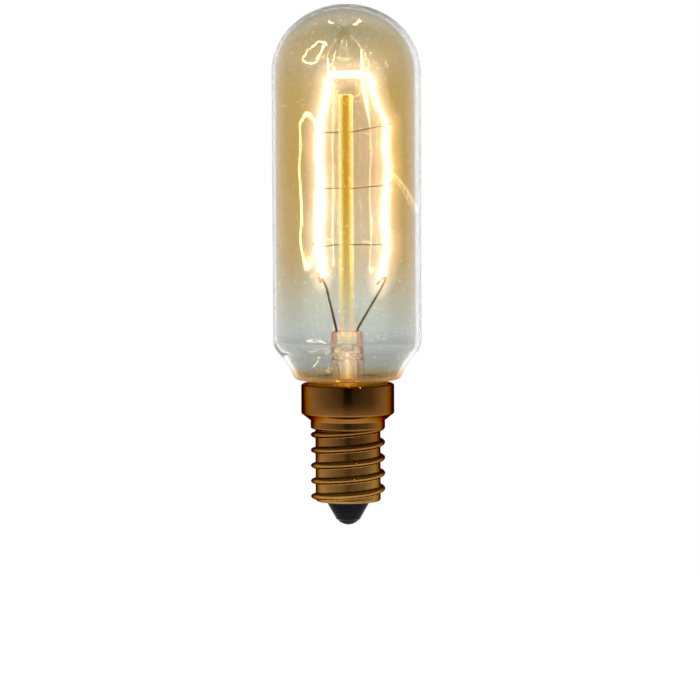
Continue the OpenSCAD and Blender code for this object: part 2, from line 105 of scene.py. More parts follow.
def upright(radius: float, start: float, end: float, steps: int) -> Outline:
    """Points along a straight wall, after its start and up to its end."""
    return [(radius, start + (end - start) * i / steps) for i in range(1, steps + 1)]


def smooth(share: float) -> float:
    """A share from 0 to 1, eased at both ends."""
    held = min(max(share, 0.0), 1.0)
    return held * held * (3 - 2 * held)


def rounded(points: Route, reach: float, steps: int = 6) -> Route:
    """A route whose inner corners are rounded.

    Args:
        points: the corners.
        reach: longest stretch that a corner's curve takes from each side.
        steps: number of stretches in each curve.

    Returns:
        The route's points.
    """
    route = [points[0]]
    for before, corner, after in zip(points, points[1:], points[2:]):
        back, ahead = before - corner, after - corner
        near = min(reach, back.length * 0.48, ahead.length * 0.48)
        first, last = corner + back.normalized() * near, corner + ahead.normalized() * near
        for k in range(steps + 1):
            t = k / steps
            route.append(first * (1 - t) ** 2 + corner * 2 * t * (1 - t) + last * t * t)
    route.append(points[-1])
    return route


def spaced(route: Route, gap: float) -> Route:
    """Points at even distances along a route.

    Args:
        route: the route's corners.
        gap: distance from one point to the next.

    Returns:
        The evenly spaced points, with the last corner added.
    """
    points, left = [route[0]], gap
    for a, b in pairwise(route):
        length = (b - a).length
        done = 0.0
        while length - done >= left:
            done += left
            points.append(a.lerp(b, done / length))
            left = gap
        left -= length - done
    points.append(route[-1])
    return points


# Ways of making a mesh, as by hand


def deselect() -> None:
    """Leaves object mode with nothing selected."""
    if bpy.context.object is not None and bpy.context.object.mode != "OBJECT":
        bpy.ops.object.mode_set(mode="OBJECT")
    bpy.ops.object.select_all(action="DESELECT")


def turned(name: str, outline: Outline, steps: int = 96, closed: bool = True) -> Piece:
    """Spins an outline round the bulb's axis.

    Args:
        name: name of the piece.
        outline: radius and height of each point, in millimetres.
        steps: number of columns round the axis.
        closed: whether the last point joins the first.

    Returns:
        The piece, at the origin.
    """
    deselect()
    bpy.ops.mesh.primitive_plane_add(size=MM)
    piece = bpy.context.active_object
    piece.name = name
    bpy.ops.object.mode_set(mode="EDIT")
    bpy.ops.mesh.select_all(action="SELECT")
    bpy.ops.mesh.merge(type="CENTER")
    points = [Vector((r * MM, 0, z * MM)) for r, z in outline]
    bpy.ops.transform.translate(value=points[0])
    for a, b in pairwise(points + points[:1] if closed else points):
        bpy.ops.mesh.extrude_region_move(TRANSFORM_OT_translate={"value": b - a})
    bpy.ops.mesh.select_all(action="SELECT")
    bpy.ops.mesh.remove_doubles(threshold=WELD)
    bpy.ops.mesh.select_all(action="SELECT")
    bpy.ops.mesh.spin(steps=steps, angle=math.tau, center=(0, 0, 0), axis=(0, 0, 1))
    bpy.ops.mesh.select_all(action="SELECT")
    bpy.ops.mesh.remove_doubles(threshold=WELD)
    bpy.ops.mesh.delete_loose()
    bpy.ops.mesh.select_all(action="SELECT")
    bpy.ops.mesh.normals_make_consistent(inside=False)
    bpy.ops.object.mode_set(mode="OBJECT")
    bpy.ops.object.shade_smooth()
    return piece


def drawn(name: str, route: Route, diameter: float, roundness: int,
          swell: list[float] | None = None) -> Piece:
    """Draws a wire along a route.

    Args:
        name: name of the piece.
        route: the wire's middle, in millimetres.
        diameter: the wire's diameter, in millimetres.
        roundness: Blender's bevel resolution.
        swell: share of the diameter at each point, where it isn't the whole.

    Returns:
        The wire as a mesh with closed ends, at the origin.
    """
    deselect()
    bpy.ops.curve.primitive_nurbs_path_add()
    piece = bpy.context.active_object
    piece.name = name
    curve = piece.data
    curve.splines.clear()
    spline = curve.splines.new("POLY")
    spline.points.add(len(route) - 1)
    for knot, place in zip(spline.points, route):
        knot.co = (*(place * MM), 1)
    for knot, share in zip(spline.points, swell or []):
        knot.radius = share
    curve.twist_mode = "MINIMUM"
    curve.bevel_depth = diameter / 2 * MM
    curve.bevel_resolution = roundness
    curve.use_fill_caps = True
    bpy.ops.object.convert(target="MESH")
    bpy.ops.object.mode_set(mode="EDIT")
    bpy.ops.mesh.select_all(action="SELECT")
    bpy.ops.mesh.remove_doubles(threshold=WELD)
    bpy.ops.mesh.normals_make_consistent(inside=False)
    bpy.ops.object.mode_set(mode="OBJECT")
    bpy.ops.object.shade_smooth_by_angle(angle=math.radians(50))
    return piece


def hand_wobble(piece: Piece, amount: float, scale: float, seed: float) -> None:
    """Moves each point of a turned piece in or out a little, as in blown or poured work.

    Args:
        piece: the piece.
        amount: largest move, in millimetres.
        scale: distance from one rise to the next, in millimetres.
        seed: start of the pattern.
    """
    for vertex in piece.data.vertices:
        out = Vector((vertex.co.x, vertex.co.y, 0))
        if out.length > MM:
            place = vertex.co / (scale * MM) + Vector((seed, 0, 0))
            vertex.co += out.normalized() * noise.noise(place) * amount * MM


# Shader nodes


class Effect:
    """A shader node group with named inputs and outputs, built once."""

    def __init__(self, name: str, inputs: dict[str, float | Colour], outputs: dict[str, str]) -> None:
        """Makes the empty group.

        Args:
            name: name of the group.
            inputs: each input with its usual value, a number or a colour.
            outputs: each output with its kind of socket.
        """
        self.tree = bpy.data.node_groups.new(name, "ShaderNodeTree")
        for label, value in inputs.items():
            kind = "NodeSocketColor" if isinstance(value, tuple) else "NodeSocketFloat"
            socket = self.tree.interface.new_socket(label, in_out="INPUT", socket_type=kind)
            socket.default_value = (*value, 1) if isinstance(value, tuple) else value
        for label, kind in outputs.items():
            self.tree.interface.new_socket(label, in_out="OUTPUT", socket_type=kind)
        self.source = self.tree.nodes.new("NodeGroupInput")
        self.sink = self.tree.nodes.new("NodeGroupOutput")
        self.place = add(self.tree, "ShaderNodeTexCoord").outputs["Object"]


def emptied(owner: Material | bpy.types.World) -> Tree:
    """The node tree of a material or a world, with no nodes in it."""
    owner.use_nodes = True
    owner.node_tree.nodes.clear()
    return owner.node_tree


def add(tree: Tree, kind: str, **settings: object) -> Node:
    """A new node with its settings."""
    node = tree.nodes.new(kind)
    for label, value in settings.items():
        setattr(node, label, value)
    return node


def feed(tree: Tree, socket: Socket, value: object) -> None:
    """Links a socket to another, or sets its value.

    Args:
        tree: the node tree.
        socket: the input.
        value: an output socket, a number, or a colour.
    """
    if isinstance(value, Socket):
        tree.links.new(value, socket)
    elif isinstance(value, tuple) and len(value) == 3 and socket.type == "RGBA":
        socket.default_value = (*value, 1)
    else:
        socket.default_value = value


def feed_all(tree: Tree, node: Node, values: dict[str | int, object]) -> Node:
    """Feeds a node's inputs, each by its label or number, and returns the node."""
    for label, value in values.items():
        feed(tree, node.inputs[label], value)
    return node


def sums(tree: Tree, operation: str, *values: object, clamp: bool = False) -> Socket:
    """The result of a Math node on the given values."""
    node = add(tree, "ShaderNodeMath", operation=operation, use_clamp=clamp)
    return feed_all(tree, node, dict(enumerate(values))).outputs[0]


def blend(tree: Tree, share: object, first: object, second: object, how: str = "MIX") -> Socket:
    """The result of a colour mix of two values."""
    node = add(tree, "ShaderNodeMix", data_type="RGBA", blend_type=how)
    return feed_all(tree, node, {"Factor": share, 6: first, 7: second}).outputs[2]


def layer(tree: Tree, share: object, first: Socket, second: Socket) -> Socket:
    """A mix of two shaders."""
    return feed_all(tree, add(tree, "ShaderNodeMixShader"), {0: share, 1: first, 2: second}).outputs[0]


def between(tree: Tree, value: Socket, low: float, high: float, kind: str = "LINEAR") -> Socket:
    """How far a value lies from a low to a high one, from 0 to 1."""
    node = add(tree, "ShaderNodeMapRange", interpolation_type=kind)
    return feed_all(tree, node, {"Value": value, "From Min": low, "From Max": high}).outputs[0]


def ramp(tree: Tree, share: Socket, stops: Stops) -> Socket:
    """The colour that a ramp gives for a share from 0 to 1."""
    node = feed_all(tree, add(tree, "ShaderNodeValToRGB"), {0: share})
    elements = node.color_ramp.elements
    places = sorted(stops)
    elements[0].position, elements[-1].position = places[0], places[-1]
    for place in places[1:-1]:
        elements.new(place)
    for element, place in zip(elements, places):
        element.color = (*stops[place], 1)
    return node.outputs[0]


def noise_value(tree: Tree, place: Socket, size: float, detail: float) -> Socket:
    """A noise pattern, with the size of its blotches in millimetres."""
    node = add(tree, "ShaderNodeTexNoise")
    feed_all(tree, node, {"Vector": place, "Scale": 1 / (size * MM), "Detail": detail})
    return node.outputs["Fac"]


def axes(tree: Tree, place: Socket) -> Node:
    """A node that splits a place or a direction into X, Y and Z."""
    return feed_all(tree, add(tree, "ShaderNodeSeparateXYZ"), {0: place})


def height_fade() -> Effect:
    """How far up a point lies between two heights in millimetres, from 0 to 1."""
    effect = Effect("height_fade", {"Low": 0.0, "High": 100.0}, {"Fade": "NodeSocketFloat"})
    tree = effect.tree
    low, high = effect.source.outputs[:2]
    height = sums(tree, "DIVIDE", axes(tree, effect.place).outputs["Z"], MM)
    span = sums(tree, "SUBTRACT", high, low)
    fade = sums(tree, "DIVIDE", sums(tree, "SUBTRACT", height, low), span, clamp=True)
    feed(tree, effect.sink.inputs[0], fade)
    return effect


def patina() -> Effect:
    """Blotches and fine specks of age in a metal's colour, roughness and height."""
    effect = Effect(
        "patina",
        {"Clean": (0.5, 0.4, 0.2), "Aged": (0.2, 0.1, 0.05), "Smooth": 0.25, "Dull": 0.45},
        {"Colour": "NodeSocketColor", "Roughness": "NodeSocketFloat", "Height": "NodeSocketFloat"},
    )
    contrast, speckle = 2.2, 0.5
    tree = effect.tree
    blotches = noise_value(tree, effect.place, size=5.0, detail=3)
    specks = noise_value(tree, effect.place, size=0.35, detail=2)
    spread = sums(tree, "MULTIPLY_ADD", sums(tree, "SUBTRACT", blotches, 0.5), contrast, 0.5, clamp=True)
    age = sums(tree, "MULTIPLY_ADD", sums(tree, "SUBTRACT", specks, 0.5), speckle, spread, clamp=True)
    clean, aged, even, dull = effect.source.outputs[:4]
    rough = sums(tree, "MULTIPLY_ADD", age, sums(tree, "SUBTRACT", dull, even), even)
    colour = blend(tree, age, clean, aged)
    feed_all(tree, effect.sink, {"Colour": colour, "Roughness": rough, "Height": specks})
    return effect


def dust_and_glint_specks() -> Effect:
    """Roughness of small specks that cover a share of a surface. The same specks also mask painted glints."""
    effect = Effect("dust_and_glint_specks", {"Size": 0.12, "Share": 0.1, "Haze": 0.4}, {"Roughness": "NodeSocketFloat"})
    tree = effect.tree
    size, share, haze = effect.source.outputs[:3]
    scaled = add(tree, "ShaderNodeVectorMath", operation="SCALE")
    feed_all(tree, scaled, {0: effect.place, "Scale": sums(tree, "DIVIDE", 1 / MM, size)})
    whole = feed_all(tree, add(tree, "ShaderNodeVectorMath", operation="FLOOR"), {0: scaled.outputs[0]})
    cells = add(tree, "ShaderNodeTexWhiteNoise", noise_dimensions="3D")
    feed(tree, cells.inputs["Vector"], whole.outputs[0])
    speck = sums(tree, "LESS_THAN", cells.outputs["Value"], share)
    feed(tree, effect.sink.inputs[0], sums(tree, "MULTIPLY", speck, haze))
    return effect


def painted_reflection_streak() -> Effect:
    """A painted reflection: a pale band on the front's right side, with a thin wavy line along it."""
    effect = Effect("painted_reflection_streak", {"Pale": (0.5, 0.4, 0.2)}, {"Colour": "NodeSocketColor"})
    foot_x, foot_z = 11.7, 56.9
    slope, curl = 0.36, 0.004
    wave_rate, wave_reach, half_line = 5.5, 0.16, 0.1
    tree = effect.tree
    split = axes(tree, effect.place)
    x, z = (sums(tree, "DIVIDE", split.outputs[axis], MM) for axis in "XZ")
    rise = sums(tree, "SUBTRACT", z, foot_z)
    bend = sums(tree, "MULTIPLY", sums(tree, "POWER", sums(tree, "MAXIMUM", rise, 0), 3), curl)
    lean = sums(tree, "MULTIPLY_ADD", rise, slope, bend)
    off = sums(tree, "ADD", sums(tree, "SUBTRACT", x, foot_x), lean)
    across = ramp(tree, sums(tree, "MULTIPLY_ADD", off, 0.2, 0.5, clamp=True),
                  {0.38: BLACK, 0.48: WHITE, 0.6: WHITE, 0.7: BLACK})
    along = ramp(tree, sums(tree, "MULTIPLY_ADD", rise, 0.1, 0.1, clamp=True),
                 {0.05: BLACK, 0.35: grey(0.8), 0.8: WHITE, 0.9: BLACK})
    wave = sums(tree, "MULTIPLY", sums(tree, "SINE", sums(tree, "MULTIPLY", z, wave_rate)), wave_reach)
    line = sums(tree, "GREATER_THAN", sums(tree, "ABSOLUTE", sums(tree, "SUBTRACT", off, wave)), half_line)
    shown = sums(tree, "MULTIPLY", sums(tree, "MULTIPLY", across, along), line)
    front = sums(tree, "LESS_THAN", split.outputs["Y"], 0)
    pale = effect.source.outputs[0]
    feed(tree, effect.sink.inputs[0], blend(tree, sums(tree, "MULTIPLY", shown, front), BLACK, pale))
    return effect


class Effects:
    """The node groups, each built on first use."""

    _built: dict[str, Effect] = {}
    _makers = {maker.__name__: maker for maker in (height_fade, patina, dust_and_glint_specks, painted_reflection_streak)}

    @classmethod
    def put(cls, tree: Tree, name: str, **values: object) -> Node:
        """Places a group in a material.

        Args:
            tree: the material's node tree.
            name: name of the group.
            values: the group's inputs, in lower case.

        Returns:
            The group's node.
        """
        if name not in cls._built:
            cls._built[name] = cls._makers[name]()
        node = add(tree, "ShaderNodeGroup", node_tree=cls._built[name].tree)
        return feed_all(tree, node, {label.capitalize(): value for label, value in values.items()})


# Finishes


@dataclass(frozen=True)
class Finish:
    """A finish with a name. Each kind of finish fills in its own shader."""

    name: str

    def build(self) -> Material:
        """The finish as a new material."""
        material = bpy.data.materials.new(self.name)
        tree = emptied(material)
        output = add(tree, "ShaderNodeOutputMaterial")
        feed(tree, output.inputs["Surface"], self.surface(tree))
        return material

    def surface(self, tree: Tree) -> Socket:
        """The socket that the material shows."""
        shader = add(tree, "ShaderNodeBsdfPrincipled")
        return feed_all(tree, shader, self.inputs(tree)).outputs[0]

    def inputs(self, tree: Tree) -> dict[str, object]:
        """What feeds each input of the main shader."""
        raise NotImplementedError


@dataclass(frozen=True)
class Glass(Finish):
    """Glass whose tint changes with height. Light from lamps passes through it.

    Attributes:
        low: height in millimetres where the ramps by height start.
        high: height where they end.
        tints: tint by height, where the glass is seen straight.
        slanted: tint by height, where it is seen at a slant.
        slant: how fast the one tint turns into the other.
        slant_from: slant at which that starts.
        rim: what both tints are multiplied by, by slant.
        painted_glow: painted glow, an emission that stands for the hot wire's light in the glass, by slant.
        painted_glow_rise: what that painted glow is multiplied by, by height.
        mirror: strength of the metal lustre's reflection, by height.
        painted_reflection: colour of a painted reflection, a pale band on the front's right side, with
            painted glints round it.
        dust_and_glints: colour of those painted glints.
        glint_size: size of a painted glint in millimetres.
        glint_share: share of the surface that the painted glints cover.
        glint_level: strength of the painted glints.
        specks: share of the surface that is dusted with fine specks.
        speck_size: size of a speck in millimetres.
        haze: roughness of a speck.
        ior: index of refraction.
        mirror_ior: index of the reflecting lustre.
        shade: tint of the light that passes through it from a lamp.
    """

    low: float
    high: float
    tints: Stops
    slanted: Stops
    slant: float = 4.0
    slant_from: float = 0.0
    rim: Stops | None = None
    painted_glow: Stops | None = None
    painted_glow_rise: Stops | None = None
    mirror: Stops | None = None
    painted_reflection: Colour | None = None
    dust_and_glints: Colour = (1.0, 0.93, 0.7)
    glint_size: float = 0.2
    glint_share: float = 0.004
    glint_level: float = 0.5
    specks: float = 0.0
    speck_size: float = 0.06
    haze: float = 0.3
    ior: float = 1.5
    mirror_ior: float = 2.2
    shade: Colour = (0.93, 0.9, 0.85)

    def inputs(self, tree: Tree) -> dict[str, object]:
        """The tint, a painted glow for the hot wire's light, its lustre, a painted reflection with painted
        glints, its fine specks and its clear transmission.
        """
        height = Effects.put(tree, "height_fade", low=self.low, high=self.high).outputs[0]
        facing = add(tree, "ShaderNodeLayerWeight").outputs["Facing"]
        slant = sums(tree, "SUBTRACT", facing, self.slant_from)
        slant = sums(tree, "MULTIPLY", slant, self.slant, clamp=True)
        tint = blend(tree, slant, ramp(tree, height, self.tints), ramp(tree, height, self.slanted))
        if self.rim:
            tint = blend(tree, 1.0, tint, ramp(tree, facing, self.rim), "MULTIPLY")
        fed = {"Base Color": tint, "Metallic": 0, "Transmission Weight": 1, "IOR": self.ior, "Roughness": 0,
               "Coat IOR": self.mirror_ior, "Coat Roughness": 0}
        # Painted glow: an emission that stands for the hot wire's light in the glass.
        if self.painted_glow:
            light = ramp(tree, facing, self.painted_glow)
            if self.painted_glow_rise:
                light = blend(tree, 1.0, light, ramp(tree, height, self.painted_glow_rise), "MULTIPLY")
            fed |= {"Emission Color": light, "Emission Strength": 1}
        # Painted reflection: a pale glowing band with a wavy line, and painted glints round it.
        if self.painted_reflection:
            reflection_mark = Effects.put(tree, "painted_reflection_streak", pale=self.painted_reflection)
            dust_and_glints = Effects.put(tree, "dust_and_glint_specks", size=self.glint_size, share=self.glint_share,
                               haze=self.glint_level)
            light = blend(tree, dust_and_glints.outputs[0], reflection_mark.outputs[0], self.dust_and_glints)
            fed |= {"Emission Color": light, "Emission Strength": 1}
        if self.mirror:
            fed["Coat Weight"] = ramp(tree, height, self.mirror)
        if self.specks:
            dust_and_glints = Effects.put(tree, "dust_and_glint_specks", size=self.speck_size, share=self.specks, haze=self.haze)
            fed["Roughness"] = dust_and_glints.outputs[0]
        return fed

    def surface(self, tree: Tree) -> Socket:
        """The glass, clear to light on its way from a lamp."""
        clear = feed_all(tree, add(tree, "ShaderNodeBsdfTransparent"), {0: self.shade})
        shadow = add(tree, "ShaderNodeLightPath").outputs["Is Shadow Ray"]
        return layer(tree, shadow, super().surface(tree), clear.outputs[0])


@dataclass(frozen=True)
class AgedMetal(Finish):
    """Metal with blotches, specks and a fine grain.

    Attributes:
        clean: its colour where it is clean.
        aged: its colour where it is aged.
        smooth: roughness where it is clean.
        dull: roughness where it is aged.
        edge: tint of its gloss at a slant.
        grain: depth of the grain in millimetres.
        low: height in millimetres where the ramps by height start.
        high: height where they end.
        tints: what the colour is multiplied by, by height.
        painted_glow: painted glow, an emission that stands for the hot wire's light on it, one colour or a
            ramp by height.
    """

    clean: Colour
    aged: Colour
    smooth: float = 0.25
    dull: float = 0.45
    edge: Colour = WHITE
    grain: float = 0.01
    low: float = 0.0
    high: float = 100.0
    tints: Stops | None = None
    painted_glow: Colour | Stops | None = None

    def inputs(self, tree: Tree) -> dict[str, object]:
        """The patina, its fine relief and a painted glow for the hot wire's light."""
        group = Effects.put(tree, "patina", clean=self.clean, aged=self.aged,
                            smooth=self.smooth, dull=self.dull)
        height = Effects.put(tree, "height_fade", low=self.low, high=self.high).outputs[0]
        colour = group.outputs["Colour"]
        if self.tints:
            colour = blend(tree, 1.0, colour, ramp(tree, height, self.tints), "MULTIPLY")
        bump = add(tree, "ShaderNodeBump")
        feed_all(tree, bump, {"Distance": self.grain * MM, "Height": group.outputs["Height"]})
        fed = {"Base Color": colour, "Roughness": group.outputs["Roughness"], "Metallic": 1,
               "Specular Tint": self.edge, "Normal": bump.outputs[0]}
        # Painted glow: an emission that stands for the hot wire's light on the metal.
        if self.painted_glow:
            light = ramp(tree, height, self.painted_glow) if isinstance(self.painted_glow, dict) else self.painted_glow
            fed |= {"Emission Color": light, "Emission Strength": 1}
        return fed


@dataclass(frozen=True)
class HotWire(Finish):
    """Coiled wire that glows.

    Attributes:
        glow: its colour.
        dim: its colour where it glows less.
        cold: colour of the wire itself.
        smooth: roughness where it glows most.
        dull: roughness where it glows less.
        strength: its strength as seen straight.
        mirrored: its strength in a first mirror image.
        mirrored_again: its strength in a mirror image of that image.
        legs: share of the strength that the legs keep in a first image.
        legs_again: share that they keep in a further one.
        legs_end: height in millimetres up to which a leg counts.
        top_from: height above which the wire counts as its top.
    """

    glow: Colour
    strength: float
    mirrored: float
    mirrored_again: float
    dim: Colour = (1.0, 0.72, 0.36)
    cold: Colour = (0.3, 0.28, 0.25)
    smooth: float = 0.4
    dull: float = 0.6
    legs: float = 0.08
    legs_again: float = 0.1
    legs_end: float = 74.0
    top_from: float = 80.0

    def inputs(self, tree: Tree) -> dict[str, object]:
        """The glow, a little uneven along the wire."""
        group = Effects.put(tree, "patina", clean=self.glow, aged=self.dim,
                            smooth=self.smooth, dull=self.dull)
        return {"Base Color": self.cold, "Emission Color": group.outputs["Colour"],
                "Emission Strength": self.strength, "Roughness": group.outputs["Roughness"]}

    def surface(self, tree: Tree) -> Socket:
        """The wire, with the strength that each mirror image has."""
        depth = add(tree, "ShaderNodeLightPath").outputs["Glossy Depth"]
        again = sums(tree, "GREATER_THAN", depth, 1.5)
        height = axes(tree, add(tree, "ShaderNodeTexCoord").outputs["Object"]).outputs["Z"]
        top = between(tree, height, self.legs_end * MM, self.top_from * MM)
        once, twice = (blend(tree, top, tuple(part * share for part in self.glow), self.glow)
                       for share in (self.legs, self.legs_again))
        strength = sums(tree, "MULTIPLY_ADD", again, self.mirrored_again - self.mirrored, self.mirrored)
        light = add(tree, "ShaderNodeEmission")
        feed_all(tree, light, {"Color": blend(tree, again, once, twice), "Strength": strength})
        mirror = sums(tree, "GREATER_THAN", depth, 0.5)
        return layer(tree, mirror, super().surface(tree), light.outputs[0])


@dataclass(frozen=True)
class Gloss(Finish):
    """Opaque glossy glass, or matt baked cement, with faint unevenness.

    Attributes:
        colour: its main colour.
        shade: the darker colour of its blotches.
        rough: its roughness where it is smoothest.
        level: strength of its gloss.
        uneven: how much rougher its roughest spots are.
    """

    colour: Colour
    shade: Colour
    rough: float
    level: float = 0.5
    uneven: float = 1.4

    def inputs(self, tree: Tree) -> dict[str, object]:
        """The colour, the gloss and their unevenness."""
        group = Effects.put(tree, "patina", clean=self.colour, aged=self.shade, smooth=self.rough,
                            dull=self.rough * self.uneven)
        return {"Base Color": group.outputs["Colour"], "Roughness": group.outputs["Roughness"],
                "Specular IOR Level": self.level}


@dataclass(frozen=True)
class Sheen:
    """One layer of the halo's glow.

    Attributes:
        colour: its colour.
        strength: its strength along the sheath's middle.
        power: how fast it falls off to the sides.
        again: what it is multiplied by in a second mirror image.
    """

    colour: Colour
    strength: float
    power: float
    again: float


@dataclass(frozen=True)
class Halo(Finish):
    """A clear sheath whose faint glow is strongest along its middle."""

    sheens: tuple[Sheen, ...] = (
        Sheen((1.0, 1.0, 0.95), 1.2, 36.0, 1.3),
        Sheen((1.0, 0.72, 0.56), 0.38, 3.0, 0.15),
    )

    def surface(self, tree: Tree) -> Socket:
        """The sheath, unseen in a first mirror image."""
        facing = sums(tree, "SUBTRACT", 1, add(tree, "ShaderNodeLayerWeight").outputs["Facing"])
        depth = add(tree, "ShaderNodeLightPath").outputs["Glossy Depth"]
        again = sums(tree, "GREATER_THAN", depth, 1.5)
        straight = sums(tree, "LESS_THAN", depth, 0.5)
        shown = add(tree, "ShaderNodeBsdfTransparent").outputs[0]
        for sheen in self.sheens:
            level = sums(tree, "MULTIPLY", sums(tree, "POWER", facing, sheen.power), sheen.strength)
            share = sums(tree, "MULTIPLY_ADD", again, sheen.again, straight)
            light = add(tree, "ShaderNodeEmission")
            feed_all(tree, light, {"Color": sheen.colour, "Strength": sums(tree, "MULTIPLY", level, share)})
            both = add(tree, "ShaderNodeAddShader")
            shown = feed_all(tree, both, {0: shown, 1: light.outputs[0]}).outputs[0]
        return shown


class Finishes(Enum):
    """The bulb's finishes."""

    # Painted amber glow near the neck of the clear wall.
    CLEAR_GLASS = Glass(
        "clear_wall", low=26, high=95,
        tints={0.0: (0.4, 0.17, 0.01), 0.012: (0.5, 0.24, 0.02), 0.025: (0.8, 0.46, 0.06),
               0.04: (0.96, 0.88, 0.7), 0.06: (0.98, 0.97, 0.95)},
        slanted={0.0: (0.3, 0.1, 0.01), 0.012: (0.42, 0.18, 0.02), 0.025: (0.75, 0.4, 0.05),
                 0.045: (0.95, 0.85, 0.7), 0.065: (0.98, 0.97, 0.95), 0.85: (0.98, 0.97, 0.95),
                 0.9: (0.7, 0.7, 0.6), 0.96: (0.24, 0.22, 0.15), 1.0: (0.16, 0.13, 0.09)},
        slant_from=0.5, specks=0.004,
        painted_glow={0.0: (0.06, 0.035, 0.0), 1.0: (0.05, 0.02, 0.0)},
        painted_glow_rise={0.0: WHITE, 0.018: WHITE, 0.03: BLACK})
    # Painted reflection on the lustred wall: a pale band with painted glints on the front's right side.
    LUSTRED_GLASS = Glass(
        "gold_lustre", low=26, high=95,
        tints={0.0: (0.3, 0.33, 0.31), 0.08: (0.34, 0.38, 0.36), 0.1: (0.5, 0.55, 0.52),
               0.13: (0.72, 0.79, 0.74), 0.22: (0.88, 0.9, 0.75), 0.33: (0.97, 0.78, 0.49),
               0.43: (0.96, 0.75, 0.48), 0.55: (0.92, 0.65, 0.34), 0.78: (0.95, 0.68, 0.35),
               0.84: (0.88, 0.7, 0.43), 0.89: (0.68, 0.58, 0.38), 0.94: (0.58, 0.51, 0.31),
               1.0: (0.22, 0.15, 0.06)},
        slanted={0.0: (0.24, 0.26, 0.24), 0.08: (0.25, 0.27, 0.25), 0.1: (0.36, 0.39, 0.36),
                 0.13: (0.54, 0.6, 0.57), 0.22: (0.56, 0.5, 0.3), 0.33: (0.6, 0.37, 0.06),
                 0.55: (0.6, 0.33, 0.0), 0.78: (0.58, 0.35, 0.02), 0.84: (0.56, 0.38, 0.12),
                 0.94: (0.42, 0.36, 0.17), 1.0: (0.2, 0.14, 0.05)},
        rim={0.0: WHITE, 0.72: WHITE, 0.86: (0.55, 0.42, 0.34), 1.0: (0.35, 0.25, 0.2)},
        mirror={0.085: BLACK, 0.12: WHITE}, painted_reflection=(0.5, 0.4, 0.17))
    # Painted warm glow on the stem glass, strongest where it is seen straight.
    STEM_GLASS = Glass(
        "polished_glass", low=20, high=36, slant=1.3,
        tints={0.0: (0.97, 0.88, 0.76), 1.0: (0.97, 0.95, 0.93)},
        slanted={0.0: (0.35, 0.15, 0.03), 0.6: (0.45, 0.25, 0.1), 1.0: (0.5, 0.32, 0.2)},
        painted_glow={0.0: (0.18, 0.13, 0.075), 0.3: (0.1, 0.06, 0.025), 0.6: BLACK})
    # Painted glow on the rod, dim where it is seen straight and bright at its sides, orange at its foot.
    ROD_GLASS = Glass(
        "amber_glass", low=35, high=60, slant=1.2,
        tints={0.0: (0.98, 0.97, 0.93), 0.35: (0.9, 0.8, 0.45), 1.0: (0.84, 0.66, 0.15)},
        slanted={0.0: (0.55, 0.33, 0.2), 0.35: (0.75, 0.55, 0.25), 1.0: (0.8, 0.65, 0.3)},
        painted_glow={0.0: (0.05, 0.03, 0.0), 0.06: (0.07, 0.05, 0.0), 0.15: (0.26, 0.3, 0.1),
             0.45: (0.38, 0.48, 0.45), 0.8: (0.42, 0.5, 0.6)},
        painted_glow_rise={0.0: (1, 0.4, 0.08), 0.025: (1, 0.4, 0.08), 0.06: (0.6, 0.35, 0.35),
                  0.35: (0.85, 0.6, 0.4), 0.65: WHITE})
    # Painted orange glow on the leads, growing towards their tops.
    LEAD_NICKEL = AgedMetal(
        "dull_nickel", (0.3, 0.2, 0.09), (0.05, 0.035, 0.02), low=42, high=46,
        painted_glow={0.0: (0.015, 0.009, 0.002), 0.5: (0.06, 0.03, 0.004), 0.85: (0.6, 0.25, 0.02)})
    # Painted pinkish glow on the seal wires.
    SEAL_COPPER = AgedMetal("red_copper", (0.7, 0.45, 0.33), (0.5, 0.28, 0.18), painted_glow=(0.28, 0.16, 0.11))
    LEAD_COPPER = AgedMetal("dull_copper", (0.6, 0.2, 0.08), (0.35, 0.1, 0.05))
    FUSE_WIRE = AgedMetal("dark_wire", (0.16, 0.14, 0.12), (0.06, 0.05, 0.05))
    FILAMENT = HotWire("glowing_wire", (1.0, 0.87, 0.6), strength=6, mirrored=40, mirrored_again=3000)
    # Faint painted glow on the support wires.
    SUPPORT_WIRE = AgedMetal("brown_wire", (0.35, 0.2, 0.1), (0.12, 0.06, 0.03), painted_glow=(0.07, 0.03, 0.008))
    # Bright painted glow on the top hooks.
    HOOK_WIRE = AgedMetal("pale_wire", (0.6, 0.5, 0.35), (0.3, 0.22, 0.12), painted_glow=(0.6, 0.5, 0.34))
    AGED_BRASS = AgedMetal(
        "antique_brass", (0.5, 0.28, 0.07), (0.36, 0.18, 0.046), smooth=0.09, dull=0.15,
        edge=(0.1, 0.06, 0.05), grain=0.003, low=4, high=26,
        tints={0.0: WHITE, 0.35: (0.9, 0.85, 0.85), 0.6: (0.75, 0.6, 0.55), 0.8: (0.64, 0.5, 0.46)})
    BLACK_GLASS = Gloss("jet_glass", (0.004, 0.004, 0.006), (0.007, 0.006, 0.009), rough=0.16, level=0.03)
    DARK_BRASS = AgedMetal("tarnished_brass", (0.03, 0.024, 0.02), (0.015, 0.012, 0.012))
    SOLDER = AgedMetal("grey_solder", (0.012, 0.011, 0.014), (0.006, 0.006, 0.008), smooth=0.4, dull=0.6)
    BRIGHT_SOLDER = AgedMetal("bright_solder", (0.5, 0.49, 0.47), (0.28, 0.27, 0.26), smooth=0.3, dull=0.5)
    CEMENT = Gloss("baked_cement", (0.55, 0.47, 0.36), (0.4, 0.33, 0.25), rough=0.6)
    GLOW = Halo("lens_halo")

    def material(self) -> Material:
        """The finish's material, built on first use."""
        return bpy.data.materials.get(self.value.name) or self.value.build()


def dress(piece: Piece, finish: Finishes) -> None:
    """Gives a piece one finish."""
    piece.data.materials.clear()
    piece.data.materials.append(finish.material())


